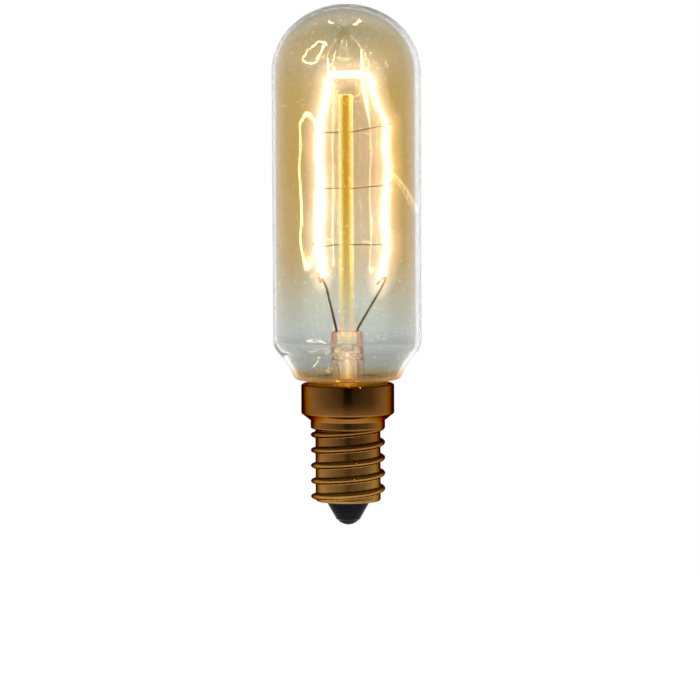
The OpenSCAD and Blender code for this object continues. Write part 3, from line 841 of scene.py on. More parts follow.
def seat(piece: Piece, finish: Finishes, slot: str, *nodes: str) -> None:
    """Dresses a finished piece and puts it in place of its nodes.

    Args:
        piece: the finished piece, at the origin.
        finish: its finish.
        slot: name of a material slot; not used.
        nodes: the nodes that it stands for.
    """
    dress(piece, finish)
    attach(piece, BODY)
    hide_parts(*nodes)
    log.info("%s stands for %s", piece.name, ", ".join(nodes))


# Sub-assemblies


@dataclass
class Envelope:
    """The blown glass tube, from its dome to the neck inside the collar. Sizes are in millimetres."""

    glass_r: float
    top_z: float
    neck_z: float
    rim_z: float
    wall: float = 0.8
    dome_h: float = 12.4
    shoulder_r: float = 3.7
    shoulder_turn: float = 43
    waist_r: float = 13.5
    waist_lean: float = 22
    foot_r: float = 1.1
    foot_gap: float = 0.7
    neck_r: float = 7.3
    neck_fillet: float = 0.6
    uneven: float = 0.17
    uneven_z: float = 5.0
    uneven_h: float = 3.0
    columns: int = 240

    @classmethod
    def from_frame(cls) -> Envelope:
        """The envelope at the size that the frame gives it."""
        low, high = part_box("glass_envelope")
        return cls(high.x / MM, high.z / MM, low.z / MM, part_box("cap_shell")[1].z / MM)

    def side(self, wall: float) -> Outline:
        """The outline from the neck's lower edge to the top of the dome.

        Args:
            wall: depth below the outer face.

        Returns:
            The outline's points.
        """
        turn, lean = math.radians(self.shoulder_turn), math.radians(self.waist_lean)
        shoulder_x = self.glass_r - self.shoulder_r
        waist_x = shoulder_x + (self.shoulder_r + self.waist_r) * math.cos(turn)
        foot_x = waist_x - (self.waist_r + self.foot_r) * math.cos(lean)
        foot_z = self.rim_z + self.foot_gap + self.foot_r
        waist_z = foot_z - (self.waist_r + self.foot_r) * math.sin(lean)
        shoulder_z = waist_z + (self.shoulder_r + self.waist_r) * math.sin(turn)
        dome_z = self.top_z - self.dome_h
        fillet, foot = self.neck_fillet + wall, self.foot_r - wall
        waist, shoulder = self.waist_r + wall, self.shoulder_r - wall
        tube = upright(self.glass_r - wall, shoulder_z, dome_z, 24)[:-1]
        neck_top = self.rim_z + self.foot_gap - self.neck_fillet
        return (
            [(self.neck_r - wall, self.neck_z), (self.neck_r - wall, (self.neck_z + neck_top) / 2)]
            + arc((self.neck_r + self.neck_fillet, neck_top), (fillet, fillet), 180, 90, 8)
            + arc((foot_x, foot_z), (foot, foot), -90, -self.waist_lean, 10)
            + arc((waist_x, waist_z), (waist, waist), 180 - self.waist_lean, 180 - self.shoulder_turn, 12)[1:]
            + arc((shoulder_x, shoulder_z), (shoulder, shoulder), -self.shoulder_turn, 0, 16)[1:]
            + tube
            + arc((0, dome_z), (self.glass_r - wall, self.dome_h - wall), 0, 90, 36)
        )

    def build(self) -> None:
        """Blows the envelope and gives it its lustre."""
        outline = self.side(0) + self.side(self.wall)[::-1]
        piece = turned("blown_envelope", outline, self.columns)
        seat(piece, Finishes.CLEAR_GLASS, "lustred_glass", "glass_envelope")
        piece.data.materials.append(Finishes.LUSTRED_GLASS.material())
        self.line_inside(piece)

    def line_inside(self, piece: Piece) -> None:
        """Gives the envelope's inner face its lustre, and a wall thicker on the right."""
        inner: set[int] = set()
        dome_z = (self.top_z - self.dome_h) * MM
        for face in piece.data.polygons:
            off = Vector((face.center.x, face.center.y, max(face.center.z - dome_z, 0)))
            if face.normal.dot(off) < 0 and face.center.z > self.rim_z * MM:
                face.material_index = 1
                inner.update(face.vertices)
        low = self.rim_z + self.uneven_z
        for index in inner:
            vertex = piece.data.vertices[index]
            vertex.co.x -= self.uneven * smooth((vertex.co.z / MM - low) / self.uneven_h) * MM


@dataclass
class Stem:
    """The flared stem tube with its pinch, the exhaust tube and the glass rod. Sizes are in millimetres."""

    seal_z: float
    pinch_z: float
    head_z: float
    neck_bore_r: float = 6.5
    neck_r: float = 7.3
    tube_r: float = 3.15
    wall: float = 0.8
    flare_h: float = 3.9
    pinch_w: float = 5.8
    pinch_t: float = 3.3
    pinch_h: float = 2.3
    slope_h: float = 2.7
    press_room: float = 0.4
    bore_top: tuple[tuple[float, float], ...] = ((0, 1), (0.6, 0.8), (1, 0))
    hole_d: float = 2.1
    hole_drop: float = 0.8
    hole_depth: float = 0.9
    hole_stretch: tuple[float, float, float] = (1.15, 1.6, 0.9)
    crown_turn: float = 0.5
    crown_rise: float = 0.05
    crown_rings: tuple[float, ...] = (1.6, 0.8, 0)
    gap: float = 0.02
    rod_r: float = 1.3
    rod_seat: float = 1.2
    rod_foot: tuple[float, float] = (0.8, 0.05)
    rod_foot_h: float = 0.4
    rod_swell: float = 0.06
    rod_swell_h: tuple[float, float] = (1.3, 0.8)
    rod_flat: float = 0.4
    rod_round: tuple[float, float] = (0.48, 0.42)
    exhaust_r: float = 1.1
    exhaust_wall: float = 0.55
    tip_h: float = 2.6
    tip_wall: float = 0.6
    tip_bore_h: float = 1.4

    @classmethod
    def from_frame(cls) -> Stem:
        """The stem at the size that the frame gives it."""
        tops = (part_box(name)[1].z / MM for name in ("stem_flare", "support_rod"))
        return cls(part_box("glass_envelope")[0].z / MM, *tops)

    @property
    def slope_z(self) -> float:
        """Height where the round tube starts to turn into the flat pinch."""
        return self.pinch_z - self.pinch_h - self.slope_h

    def flare(self) -> Piece:
        """The flared tube, closed at its top and not yet pressed."""
        slope_z, flare_z = self.slope_z, self.seal_z + self.flare_h
        wall, turn, bell = self.wall, self.crown_turn, self.neck_bore_r - self.tube_r
        bore_r, crown_r, crown_z = self.tube_r - wall, self.pinch_w / 2, self.pinch_z - turn
        inside = [(bore_r * share, slope_z + rise) for share, rise in self.bore_top]
        inside += upright(bore_r, slope_z, flare_z, 8)[:-1]
        inside += arc((self.neck_bore_r, flare_z), (bell + wall, self.flare_h + wall), 180, 270, 14)
        foot = [(self.neck_r, self.seal_z - wall), (self.neck_r, self.seal_z - self.gap),
                (self.neck_bore_r, self.seal_z - self.gap)]
        outside = arc((self.neck_bore_r, flare_z), (bell, self.flare_h - self.gap), 270, 180, 14)[1:]
        outside += upright(self.tube_r, flare_z, slope_z, 8)
        outside += [(self.tube_r + (crown_r - self.tube_r) * i / 16, slope_z + (crown_z - slope_z) * i / 16)
                    for i in range(1, 16)]
        crown = arc((crown_r - turn, crown_z), (turn, turn), 0, 90, 6)
        top = [(radius, self.pinch_z + self.crown_rise) for radius in self.crown_rings]
        return turned("pressed_stem", inside + foot + outside + crown + top, 96, closed=False)

    def press(self, piece: Piece) -> None:
        """Flattens the top of the stem, as the hot press does."""
        round_limit, flat_limit = self.tube_r + self.press_room, self.pinch_t / 2
        for vertex in piece.data.vertices:
            pressed = smooth((vertex.co.z / MM - self.slope_z) / self.slope_h)
            limit = round_limit * (1 - pressed) + flat_limit * pressed
            y = abs(vertex.co.y) / MM
            if y > 0 and pressed > 0:
                flat = limit * math.tanh((y / limit) ** 2) ** 0.5
                vertex.co.y *= (y * (1 - pressed) + min(flat, y) * pressed) / y

    def pierce(self, piece: Piece) -> None:
        """Cuts the blow hole through the front wall, below the pinch."""
        deselect()
        hole_z = (self.pinch_z - self.pinch_h - self.hole_drop) * MM
        bpy.ops.mesh.primitive_uv_sphere_add(segments=32, ring_count=20, radius=self.hole_d / 2 * MM)
        cutter = bpy.context.active_object
        bpy.ops.transform.resize(value=self.hole_stretch)
        bpy.ops.transform.translate(value=(0, -(self.tube_r - self.hole_depth) * MM, hole_z))
        bpy.ops.object.transform_apply()
        deselect()
        bpy.context.view_layer.objects.active = piece
        piece.select_set(True)
        modifier = piece.modifiers.new("blow_hole", "BOOLEAN")
        modifier.operation = "DIFFERENCE"
        modifier.solver = "EXACT"
        modifier.object = cutter
        bpy.ops.object.modifier_apply(modifier=modifier.name)
        bpy.data.objects.remove(cutter)
        bpy.ops.object.shade_smooth_by_angle(angle=math.radians(40))

    def exhaust(self) -> Piece:
        """The exhaust tube, melted shut at its tip."""
        low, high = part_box("exhaust_tube")
        tip_z, top_z = low.z / MM, high.z / MM
        bore_r = self.exhaust_r - self.exhaust_wall
        melt_z = tip_z + self.tip_h
        bore_z = melt_z + self.tip_wall
        outside = arc((0, melt_z), (self.exhaust_r, self.tip_h), -90, 0, 12)
        outside += upright(self.exhaust_r, melt_z, top_z, 12)
        inside = upright(bore_r, bore_z, top_z, 12)[::-1]
        inside += arc((0, bore_z), (bore_r, self.tip_bore_h), 0, -90, 8)
        piece = turned("melted_exhaust_tube", outside + inside, 40, closed=False)
        hand_wobble(piece, amount=0.06, scale=3.5, seed=1.7)
        return piece

    def rod(self) -> Piece:
        """The glass rod, with its fire-polished head."""
        foot, head, radius = self.pinch_z - self.rod_seat, self.head_z, self.rod_r
        side_z, (share, rise) = foot + self.rod_foot_h, self.rod_foot
        outline = [(0, foot), (radius * share, foot + rise), (radius, side_z)]
        outline += upright(radius, side_z, head - self.rod_swell_h[0], 48)
        outline += [(radius + self.rod_swell, head - self.rod_swell_h[1])]
        outline += arc((radius - self.rod_flat, head - self.rod_round[1]), self.rod_round, 0, 90, 8)
        outline += [(self.rod_flat, head), (0, head)]
        piece = turned("polished_rod", outline, 64, closed=False)
        hand_wobble(piece, amount=0.04, scale=6, seed=8.1)
        return piece

    def build(self) -> None:
        """Makes the glass of the stem."""
        flare = self.flare()
        self.press(flare)
        self.pierce(flare)
        seat(flare, Finishes.STEM_GLASS, "stem_glass", "stem_flare")
        seat(self.exhaust(), Finishes.STEM_GLASS, "stem_glass", "exhaust_tube")
        seat(self.rod(), Finishes.ROD_GLASS, "stem_glass", "support_rod")


class Side(Enum):
    """The two sides of the bulb, seen from the front."""

    LEFT = -1
    RIGHT = 1

    @property
    def word(self) -> str:
        """The side's word in a node's name."""
        return self.name.lower()


class Level(Enum):
    """The three heights of the support wires."""

    UPPER = 0
    MIDDLE = 1
    LOWER = 2


@dataclass
class Leg:
    """One leg of the filament, in its own upright plane through the bulb's axis.

    Attributes:
        side: its side of the bulb.
        turn: angle of its plane from the bulb's width, in degrees.
        mean: its mean reach, the distance from the axis, in millimetres.
        corner: reach of its top corner, in millimetres.
        hook: distance of its top hook along the span, in millimetres.
        held: reach at each support, as a share of the mean reach.
        rise: rise of each support to the filament, in steps from one support to the next.
        shape: reach, as a share, and height, in steps above the lowest support, of its bends.
        lead: reach and height above the pinch of its lead's head, in millimetres.
        fold: direction in which the lead is folded back, down and inwards.
        end: reach and height of its end from the lead's head, in millimetres.
    """

    side: Side
    turn: float
    mean: float
    corner: float
    hook: float
    held: tuple[float, float, float]
    rise: tuple[float, float, float]
    shape: tuple[tuple[float, float], ...]
    lead: tuple[float, float]
    fold: tuple[float, float]
    end: tuple[float, float]

    def at(self, reach: float, z: float, back: float = 0.0) -> Vector:
        """A point in the leg's plane, or the given distance behind it."""
        turn = math.radians(self.turn)
        out = Vector((math.cos(turn), -math.sin(turn), 0))
        behind = Vector((math.sin(turn), math.cos(turn), 0))
        return out * reach * self.side.value + behind * back + Vector((0, 0, z))


LEGS = (
    Leg(Side.LEFT, turn=21, mean=5.1, corner=3.4, hook=2.2, held=(1, 0.97, 1.04), rise=(0, 0.01, -0.02),
        shape=((0.7, 2.74), (0.84, 2.46), (0.96, 2.16), (1, 2.07), (1, 1.93), (1.04, 1.72), (1.03, 1.46),
               (0.97, 1.3), (0.97, 1.08), (0.97, 0.94), (0.94, 0.73), (1.01, 0.46), (1.1, 0.24),
               (1.04, 0.05), (1.04, -0.09), (0.98, -0.2), (0.96, -0.4)),
        lead=(5.5, 10.4), fold=(0.4, 1.0), end=(-0.64, -0.65)),
    Leg(Side.RIGHT, turn=29.5, mean=8.3, corner=5.3, hook=2.9, held=(1, 1, 1), rise=(0.11, 0.06, 0.02),
        shape=((0.65, 2.77), (0.8, 2.45), (0.94, 2.24), (1, 2.18), (1, 2.04), (0.97, 1.75), (1.04, 1.32),
               (1, 1.13), (1, 0.99), (0.965, 0.8), (0.95, 0.33), (1, 0.09), (1, -0.05), (0.94, -0.27)),
        lead=(7.8, 9.9), fold=(1.4, 1.25), end=(-1, -1.2)),
)


@dataclass
class GlowingLoop:
    """The filament with the wires that hold it, and the leads that feed it. Sizes are in millimetres."""

    head_z: float
    pinch_z: float
    span_z: float
    coil_d: float = 0.5
    strand_d: float = 0.12
    pitch: float = 0.17
    turn_steps: int = 10
    coil_back: tuple[float, float, float] = (0.45, 0.9, 0)
    bend: float = 0.9
    end_h: float = 0.9
    end_right: float = 0.2
    anchor_d: float = 0.2
    anchor_drop: float = 6.8
    anchor_step: float = 10.2
    anchor_depth: float = 0.8
    anchor_tail: float = 1.2
    anchor_near: float = 1.2
    anchor_out: float = 0.2
    anchor_lean: float = 0.7
    tail_lean: float = 0.8
    rod_r: float = 1.3
    lead_d: float = 0.45
    lead_x: float = 1.95
    lead_root: float = 0.2
    lead_rise: float = 0.5
    lead_knee: tuple[float, float] = (1.3, 2.4)
    lead_bend: float = 0.6
    fold_len: float = 1.7
    grip_gap: float = 0.08
    hook_drop: float = 0.6
    hook_out: float = 0.3
    hook_rise: float = 0.5
    hook_bend: float = 0.4
    hook_turn: int = 15
    hook_end: int = 210
    halo_r: float = 3.1
    halo_bend: float = 2.5
    halo_gap: float = 0.5
    halo_tip: float = 0.01

    @classmethod
    def from_frame(cls) -> GlowingLoop:
        """The loop at the place that the frame gives it."""
        head_z, pinch_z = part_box("support_rod")[1].z / MM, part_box("stem_flare")[1].z / MM
        return cls(head_z, pinch_z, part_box("filament")[1].z / MM - cls.coil_d / 2)

    @property
    def anchor_off(self) -> float:
        """Distance from the filament's middle to that of a wire round it."""
        return (self.coil_d + self.anchor_d) / 2 + self.grip_gap

    def anchor_z(self, level: Level) -> float:
        """Height at which a pair of support wires leaves the rod."""
        return self.head_z - self.anchor_drop - level.value * self.anchor_step

    def half(self, leg: Leg) -> Route:
        """The filament's corners from the span's corner down one leg to its lead."""
        end_reach, end_z = leg.lead[0] + leg.end[0], self.pinch_z + leg.lead[1] + leg.end[1]
        lean = self.end_right if leg.side is Side.RIGHT else 0.0
        corners = [leg.at(leg.corner, self.span_z)]
        corners += [leg.at(leg.mean * reach, self.anchor_z(Level.LOWER) + self.anchor_step * step)
                    for reach, step in leg.shape]
        return corners + [leg.at(end_reach + lean, end_z + self.end_h), leg.at(end_reach, end_z)]

    def coil(self) -> Piece:
        """The filament, a fine wire coiled along its route."""
        left, right = (self.half(leg) for leg in LEGS)
        middle = spaced(rounded(left[::-1] + right, self.bend), self.pitch / self.turn_steps)
        radius = (self.coil_d - self.strand_d) / 2
        behind = Vector(self.coil_back)
        turns: Route = []
        for i, (a, b, c) in enumerate(zip(middle, middle[1:], middle[2:])):
            along = (c - a).normalized()
            across = along.cross(behind).normalized()
            angle = math.tau * i / self.turn_steps
            turns.append(b + (across.cross(along) * math.cos(angle) + across * math.sin(angle)) * radius)
        return drawn("coiled_filament", turns, self.strand_d, roundness=0)

    def halo(self) -> None:
        """Sets the soft glow that a lens draws round the hot wire, which is no part of the bulb."""
        left, right = (self.half(leg) for leg in LEGS)
        ends = [side[-1] + (side[-1] - side[-2]).normalized() * self.halo_r for side in (left, right)]
        route = spaced(rounded([ends[0], *left[::-1], *right, ends[1]], self.halo_bend), self.halo_gap)
        nearest = [min((place - end).length for end in ends) / self.halo_r / 2 for place in route]
        swell = [math.sqrt(1 - (1 - min(share, 1)) ** 2) + self.halo_tip for share in nearest]
        sheath = drawn("lens_halo", route, self.halo_r * 2, roundness=6, swell=swell)
        dress(sheath, Finishes.GLOW)
        sheath.visible_diffuse = False
        sheath.visible_shadow = False

    def anchor(self, leg: Leg, level: Level) -> Piece:
        """A support wire, with a turn round its leg and a tail."""
        off, climb, steps = self.anchor_off, self.anchor_d + self.grip_gap, 24
        z = self.anchor_z(level)
        top = z + leg.rise[level.value] * self.anchor_step
        reach = leg.mean * leg.held[level.value]
        route = [leg.at(self.rod_r - self.anchor_depth, z), leg.at(self.rod_r + self.anchor_out, z),
                 leg.at(reach - self.anchor_near, top - climb / 2, -off * self.anchor_lean)]
        for step in range(steps + 1):
            a = math.tau * step / steps
            lift = climb * (step / steps - 0.5)
            route.append(leg.at(reach + off * math.sin(a), top + lift, -off * math.cos(a)))
        route.append(leg.at(reach + self.anchor_tail, top + climb, -off * self.tail_lean))
        return drawn(f"{level.name.lower()}_support_{leg.side.word}", route, self.anchor_d, roundness=1)

    def hook(self, leg: Leg) -> Piece:
        """The wire from the rod's head over the filament's top span."""
        off = self.anchor_off
        start, end = (each.at(each.corner, 0) for each in LEGS)
        along = (end - start).normalized()
        behind = Vector((0, 0, 1)).cross(along)
        out = along * leg.side.value
        held = start - along * start.dot(along) + out * leg.hook
        z, up = Vector((0, 0, self.head_z - self.hook_drop)), Vector((0, 0, off))
        crown = held + Vector((0, 0, self.span_z))
        knee = held + behind * off + z + Vector((0, 0, self.hook_rise))
        rise = rounded([out * (self.rod_r - self.anchor_depth) + z, out * (self.rod_r + self.hook_out) + z,
                        knee, crown + behind * off], self.hook_bend)
        over = [crown + behind * off * math.cos(math.radians(a)) + up * math.sin(math.radians(a))
                for a in range(self.hook_turn, self.hook_end + 1, self.hook_turn)]
        return drawn(f"head_hook_{leg.side.word}", rise + over, self.anchor_d, roundness=1)

    def lead(self, leg: Leg) -> Piece:
        """A lead, from the pinch up behind the filament's end and folded back in front of it."""
        off = (self.coil_d + self.lead_d) / 2 + self.grip_gap
        reach, z = leg.lead[0], self.pinch_z + leg.lead[1]
        foot = leg.side.value * self.lead_x
        back, front = leg.at(reach, z, off), leg.at(reach, z, -off)
        fold = leg.at(-leg.fold[0], -leg.fold[1]).normalized() * self.fold_len
        knee = leg.at(reach - self.lead_knee[0], z - self.lead_knee[1], off)
        root, rise = (Vector((foot, 0, self.pinch_z + h)) for h in (-self.lead_root, self.lead_rise))
        route = rounded([root, rise, knee, back, front, front + fold], self.lead_bend)
        return drawn(f"folded_lead_{leg.side.word}", route, self.lead_d, roundness=3)

    def build(self) -> None:
        """Makes the filament, its supports and its leads."""
        seat(self.coil(), Finishes.FILAMENT, "filament_tungsten", "filament")
        self.halo()
        for leg in LEGS:
            word = leg.side.word
            seat(self.lead(leg), Finishes.LEAD_NICKEL, "lead_nickel", f"inner_lead_{word}")
            seat(self.hook(leg), Finishes.HOOK_WIRE, "support_wire", f"top_hook_{word}")
            for level in Level:
                node = f"anchor_{level.name.lower()}_{word}"
                seat(self.anchor(leg, level), Finishes.SUPPORT_WIRE, "support_wire", node)


@dataclass
class ScrewCap:
    """The brass screw shell with its collar, and the glass and solder in its end, in millimetres."""

    lip_z: float
    rim_z: float
    collar_r: float
    crest_r: float = 6.8
    thread_depth: float = 0.85
    rib_w: float = 1.2
    pitch: float = 2.82
    lead_in: float = 0.85
    rib_start: float = 95
    rib_grow: float = 85
    rib_round: float = 0.6
    collar_h: float = 5.6
    step_h: float = 1.1
    band_h: float = 1.6
    band_foot: float = 0.2
    band_slope: float = 0.5
    wall: float = 0.3
    rim_r: float = 0.4
    rim_bevel: tuple[float, float] = (0.05, 0.1)
    lip_r: float = 4.95
    lip_h: float = 0.35
    lip_turn: float = 0.3
    lip_flat: float = 0.4
    near: float = 0.01
    cone_top_r: float = 3.8
    contact_r: float = 2.3
    contact_rim_z: float = 1.15
    hole_r: float = 1.12
    boss_r: float = 2.3
    fit: float = 0.02
    cone_drop: float = 0.5
    cone_turn: float = 0.4
    foot_bevel: float = 0.1
    disc_h: float = 3.0
    disc_gap: float = 0.1
    disc_slope: float = 0.8
    bead_r: float = 1.9
    bead_gap: float = 0.35
    bead_edge: tuple[float, float] = (0.15, 0.2)
    bead_back: float = 0.3
    columns: int = 144
    row: float = 0.1

    @classmethod
    def from_frame(cls) -> ScrewCap:
        """The cap at the size that the frame gives it."""
        low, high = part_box("cap_shell")
        return cls(low.z / MM, high.z / MM, high.x / MM)

    @property
    def root_r(self) -> float:
        """Radius at the bottom of the thread."""
        return self.crest_r - self.thread_depth

    @property
    def step_z(self) -> float:
        """Height of the step's lower edge."""
        return self.rim_z - self.collar_h - self.step_h

    def relief(self, z: float, angle: float) -> float:
        """Height of the rolled thread over its root.

        Args:
            z: height of the point.
            angle: angle round the axis, in degrees from 0 to 360.

        Returns:
            The relief in millimetres.
        """
        rib_z = self.lip_z + self.lead_in + self.pitch * (angle - 180) / 360
        turns = (z - rib_z) / self.pitch
        off = 2 * (turns - round(turns)) * self.pitch / self.rib_w
        grown = smooth((angle + 360 * round(turns) - self.rib_start) / self.rib_grow)
        rib = (1 - off * off) ** self.rib_round * grown if abs(off) < 1 else 0.0
        band = smooth((z - (self.step_z - self.band_h) + self.band_foot) / self.band_slope)
        return self.thread_depth * max(rib, band)

    def shell(self) -> Piece:
        """The shell, turned with a plain wall and then rolled."""
        root, wall, turn, near = self.root_r, self.wall, self.rim_r, self.near
        foot_z, collar_z = self.lip_z + self.lip_h, self.rim_z - self.collar_h
        count = round((self.step_z - foot_z) / self.row)
        heights = [foot_z] + [z for _, z in upright(root, foot_z, self.step_z, count)]
        rim_x, bore = self.collar_r - turn, self.collar_r - wall
        outline = [(self.lip_r, self.lip_z), (root - self.lip_flat, self.lip_z)]
        outline += arc((root - self.lip_turn, foot_z), (self.lip_turn, self.lip_h), -70, -20, 3)
        outline += [(root, z) for z in heights]
        outline += arc((rim_x, collar_z + turn), (turn, turn), -60, 0, 6)
        outline += arc((rim_x, self.rim_z - turn), (turn, turn), 0, 90, 8)
        outline += [(bore - self.rim_bevel[0], self.rim_z - self.rim_bevel[1]),
                    (bore, self.rim_z - turn), (bore, collar_z + turn)]
        outline += [(root - wall, z + (wall if z > self.step_z - near else 0)) for z in heights[::-1]]
        outline += [(self.lip_r, self.lip_z + wall)]
        piece = turned("rolled_shell", outline, self.columns)
        for vertex in piece.data.vertices:
            x, y, z = (c / MM for c in vertex.co)
            radius = math.hypot(x, y)
            rolled = self.lip_z + self.lip_turn < z < self.step_z + wall + near
            if rolled and root - wall - near < radius < root + near:
                relief = self.relief(min(z, self.step_z), math.degrees(math.atan2(y, x)) % 360)
                vertex.co.x *= (radius + relief) / radius
                vertex.co.y *= (radius + relief) / radius
        return piece

    def insulator(self) -> Piece:
        """The black glass, a rounded cone below the lip and a disc inside it."""
        cone_z, neck = self.lip_z - self.cone_drop, self.lip_r - self.fit
        disc_r = self.root_r - self.wall - self.disc_gap
        foot_z, seat_z = self.contact_rim_z + self.fit, self.lip_z + self.wall + self.fit
        disc_z, top_z = self.lip_z + self.disc_h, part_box("cap_insulator")[1].z / MM
        outline = [(self.hole_r, foot_z), (self.contact_r - self.foot_bevel, foot_z),
                   (self.contact_r, foot_z + self.foot_bevel)]
        outline += arc((neck, cone_z), (neck - self.cone_top_r, self.cone_turn), 180, 90, 8)
        outline += [(neck, seat_z), (disc_r, seat_z), (disc_r, disc_z), (disc_r - self.disc_slope, disc_z),
                    (self.boss_r, top_z), (self.hole_r, top_z)]
        return turned("moulded_insulator", outline, 96)

    def bead(self) -> Piece:
        """The bead of solder on the contact, drawn out a little by the iron."""
        sag = self.contact_rim_z - self.bead_gap
        ball_r = (self.bead_r**2 + sag**2) / (2 * sag)
        points = [(self.bead_r * i / 16, ball_r - math.sqrt(ball_r**2 - (self.bead_r * i / 16) ** 2))
                  for i in range(17)]
        edge = (self.bead_r - self.bead_edge[0], sag + self.bead_edge[1])
        outline = points + [edge, (0, sag + self.bead_back)]
        piece = turned("contact_bead", outline, 64, closed=False)
        hand_wobble(piece, amount=0.1, scale=1.6, seed=5.5)
        return piece

    def build(self) -> None:
        """Makes the cap's pieces."""
        seat(self.shell(), Finishes.AGED_BRASS, "aged_brass", "cap_shell")
        seat(self.insulator(), Finishes.BLACK_GLASS, "black_glass", "cap_insulator")
        seat(self.bead(), Finishes.SOLDER, "solder", "contact_solder")


@dataclass
class KeptNodes:
    """The frame's own pieces that keep their shape and get a finish."""

    finishes: dict[str, Finishes] = field(default_factory=lambda: {
        "seal_wire_left": Finishes.SEAL_COPPER,
        "seal_wire_right": Finishes.SEAL_COPPER,
        "outer_lead_side": Finishes.LEAD_COPPER,
        "fuse_lead": Finishes.FUSE_WIRE,
        "centre_contact": Finishes.DARK_BRASS,
        "side_solder": Finishes.BRIGHT_SOLDER,
        "basing_cement": Finishes.CEMENT,
    })

    def build(self, nodes: dict[str, Piece]) -> None:
        """Dresses each kept node."""
        for name, finish in self.finishes.items():
            dress(nodes[name], finish)
            log.info("%s keeps its shape", name)


LEFT_SURROUND = {0.0: 0.01, 0.045: 0.015, 0.075: 0.14, 0.14: 0.2, 0.25: 0.28, 0.34: 0.38, 0.5: 0.62,
                 0.62: 0.82, 0.75: 0.85, 0.85: 0.6, 1.0: 0.55}
RIGHT_SURROUND = LEFT_SURROUND | {0.075: 0.08, 0.14: 0.1, 0.25: 0.17, 0.34: 0.22, 0.5: 0.52, 0.62: 0.78}
GLASS_SURROUND = {0.0: 0.03, 0.12: 0.06, 0.2: 0.3, 0.6: 0.4, 0.8: 0.9, 1.0: 1.0}


@dataclass
class Lamp:
    """A soft square lamp that faces the bulb.

    Attributes:
        name: the lamp's name.
        place: where it hangs, in metres.
        power: its power in watts.
        size: length of its side, in metres.
        aim_z: height on the bulb's axis that it faces, in metres.
    """

    name: str
    place: tuple[float, float, float]
    power: float
    size: float = 0.5
    aim_z: float = 0.05

    def hang(self) -> None:
        """Hangs the lamp, unseen in gloss and through glass."""
        bpy.ops.object.light_add(type="AREA", location=self.place)
        lamp = bpy.context.active_object
        lamp.name = self.name
        lamp.data.energy = self.power
        lamp.data.size = self.size
        lamp.visible_glossy = False
        lamp.visible_transmission = False
        aim = Vector((0, 0, self.aim_z)) - Vector(self.place)
        lamp.rotation_euler = aim.to_track_quat("-Z", "Y").to_euler()


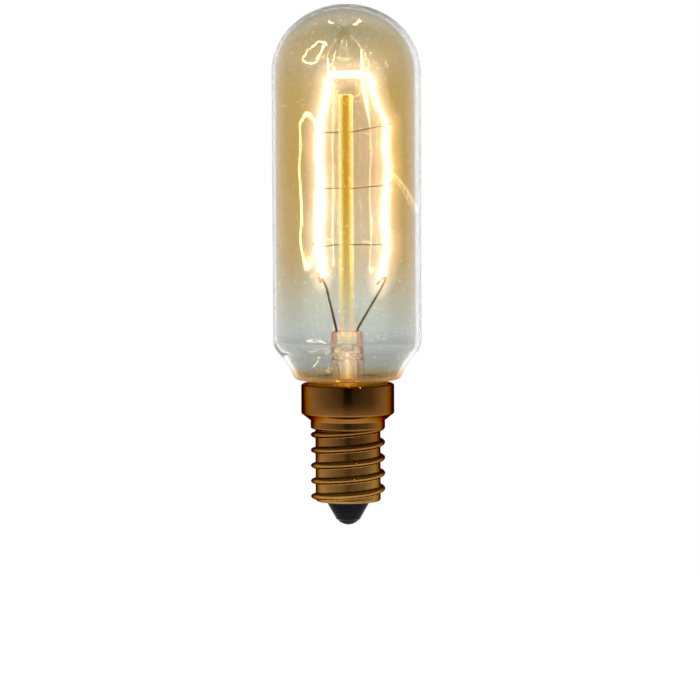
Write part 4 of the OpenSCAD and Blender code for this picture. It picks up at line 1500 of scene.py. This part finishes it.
@dataclass
class Studio:
    """The floor, the soft light and the camera. Lengths are in metres and angles in degrees."""

    distance: float = 0.55
    eye_z: float = 0.0685
    pitch: float = 3.8
    roll: float = 0.28
    sensor: float = 36
    focal_px: float = 3025
    frame_px: float = 700
    axis_px: float = 347.5
    floor_z: float = -0.12
    floor_size: float = 4.0
    floor_grey: float = 0.95
    floor_white: float = 0.9
    near_floor: float = 0.3
    far_floor: float = 1.4
    overhead: float = 0.13
    overhead_from: float = 0.15
    overhead_to: float = 0.6
    bounces: int = 24
    glossy_bounces: int = 8
    brightest: float = 40
    lamps: tuple[Lamp, ...] = (
        Lamp("soft_left", (-0.7, -0.35, 0.5), 6),
        Lamp("soft_right", (0.7, -0.25, 0.35), 5),
    )

    def camera(self) -> None:
        """Sets the camera where the photograph was taken from."""
        bpy.ops.object.camera_add()
        camera = bpy.context.active_object
        camera.data.sensor_width = self.sensor
        camera.data.lens = self.focal_px / self.frame_px * self.sensor
        camera.data.clip_start = 0.01
        aside = (self.frame_px / 2 - self.axis_px) / self.focal_px * self.distance
        camera.location = (aside, -self.distance, self.eye_z)
        camera.rotation_mode = "XYZ"
        camera.rotation_euler = (math.radians(90 - self.pitch), 0, 0)
        camera.rotation_euler.rotate_axis("Z", math.radians(-self.roll))
        bpy.context.scene.camera = camera

    def floor(self) -> None:
        """Lays a white floor, which gloss sees only near the bulb."""
        deselect()
        bpy.ops.mesh.primitive_circle_add(vertices=96, radius=self.floor_size / 2, fill_type="NGON",
                                          location=(0, 0, self.floor_z))
        floor = bpy.context.active_object
        floor.name = "pale_floor"
        bpy.ops.object.transform_apply()
        material = bpy.data.materials.new("pale_floor")
        tree = emptied(material)
        pale = feed_all(tree, add(tree, "ShaderNodeBsdfDiffuse"), {0: grey(self.floor_grey)})
        white, clear = add(tree, "ShaderNodeEmission"), add(tree, "ShaderNodeBsdfTransparent")
        path = add(tree, "ShaderNodeLightPath")
        glossy = path.outputs["Is Glossy Ray"]
        seen = sums(tree, "MAXIMUM", path.outputs["Is Camera Ray"], path.outputs["Is Transmission Ray"])
        seen = sums(tree, "MULTIPLY", sums(tree, "MAXIMUM", seen, glossy), self.floor_white)
        place = add(tree, "ShaderNodeTexCoord").outputs["Object"]
        span = feed_all(tree, add(tree, "ShaderNodeVectorMath", operation="LENGTH"), {0: place})
        far = between(tree, span.outputs["Value"], self.near_floor, self.far_floor, "SMOOTHSTEP")
        near = layer(tree, seen, pale.outputs[0], white.outputs[0])
        shown = layer(tree, sums(tree, "MULTIPLY", far, glossy), near, clear.outputs[0])
        feed(tree, add(tree, "ShaderNodeOutputMaterial").inputs[0], shown)
        floor.data.materials.append(material)

    def world(self) -> None:
        """Surrounds the bulb with a white studio. Gloss sees its greys, and a dark gap at the camera."""
        bpy.context.scene.world = bpy.data.worlds.new("studio")
        tree = emptied(bpy.context.scene.world)
        way = axes(tree, add(tree, "ShaderNodeTexCoord").outputs["Generated"])
        ahead = sums(tree, "MULTIPLY", way.outputs["Y"], -1)
        angle = sums(tree, "ARCTAN2", sums(tree, "ABSOLUTE", way.outputs["X"]), ahead)
        turn = sums(tree, "DIVIDE", angle, math.pi)
        left, right, in_glass = (
            ramp(tree, turn, {place: grey(level) for place, level in surround.items()})
            for surround in (LEFT_SURROUND, RIGHT_SURROUND, GLASS_SURROUND))
        on_metal = blend(tree, sums(tree, "GREATER_THAN", way.outputs["X"], 0), left, right)
        above = between(tree, way.outputs["Z"], self.overhead_from, self.overhead_to, "SMOOTHSTEP")
        on_metal = blend(tree, above, on_metal, grey(self.overhead))
        path = add(tree, "ShaderNodeLightPath")
        straight = sums(tree, "LESS_THAN", path.outputs["Glossy Depth"], 0.5)
        through = path.outputs["Is Transmission Ray"]
        seen = sums(tree, "MAXIMUM", path.outputs["Is Camera Ray"], sums(tree, "MULTIPLY", through, straight))
        colour = blend(tree, path.outputs["Is Glossy Ray"], WHITE, on_metal)
        colour = blend(tree, seen, blend(tree, through, colour, in_glass), WHITE)
        background = feed_all(tree, add(tree, "ShaderNodeBackground"), {0: colour})
        feed(tree, add(tree, "ShaderNodeOutputWorld").inputs[0], background.outputs[0])

    def build(self) -> None:
        """Sets up the whole studio and the render's own settings."""
        self.camera()
        self.floor()
        self.world()
        for lamp in self.lamps:
            lamp.hang()
        scene = bpy.context.scene
        scene.view_settings.view_transform = "Standard"
        scene.cycles.max_bounces = self.bounces
        scene.cycles.transmission_bounces = self.bounces
        scene.cycles.transparent_max_bounces = self.bounces
        scene.cycles.glossy_bounces = self.glossy_bounces
        scene.cycles.caustics_reflective = False
        scene.cycles.caustics_refractive = False
        scene.cycles.sample_clamp_indirect = self.brightest
        scene.cycles.use_denoising = True


def main() -> None:
    """Builds the bulb's looks round the frame."""
    logging.basicConfig(level=logging.INFO, format="%(name)s: %(message)s")
    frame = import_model()
    Studio().build()
    for assembly in (Envelope, Stem, GlowingLoop, ScrewCap):
        assembly.from_frame().build()
    KeptNodes().build(frame["nodes"])


if __name__ == "__main__":
    main()
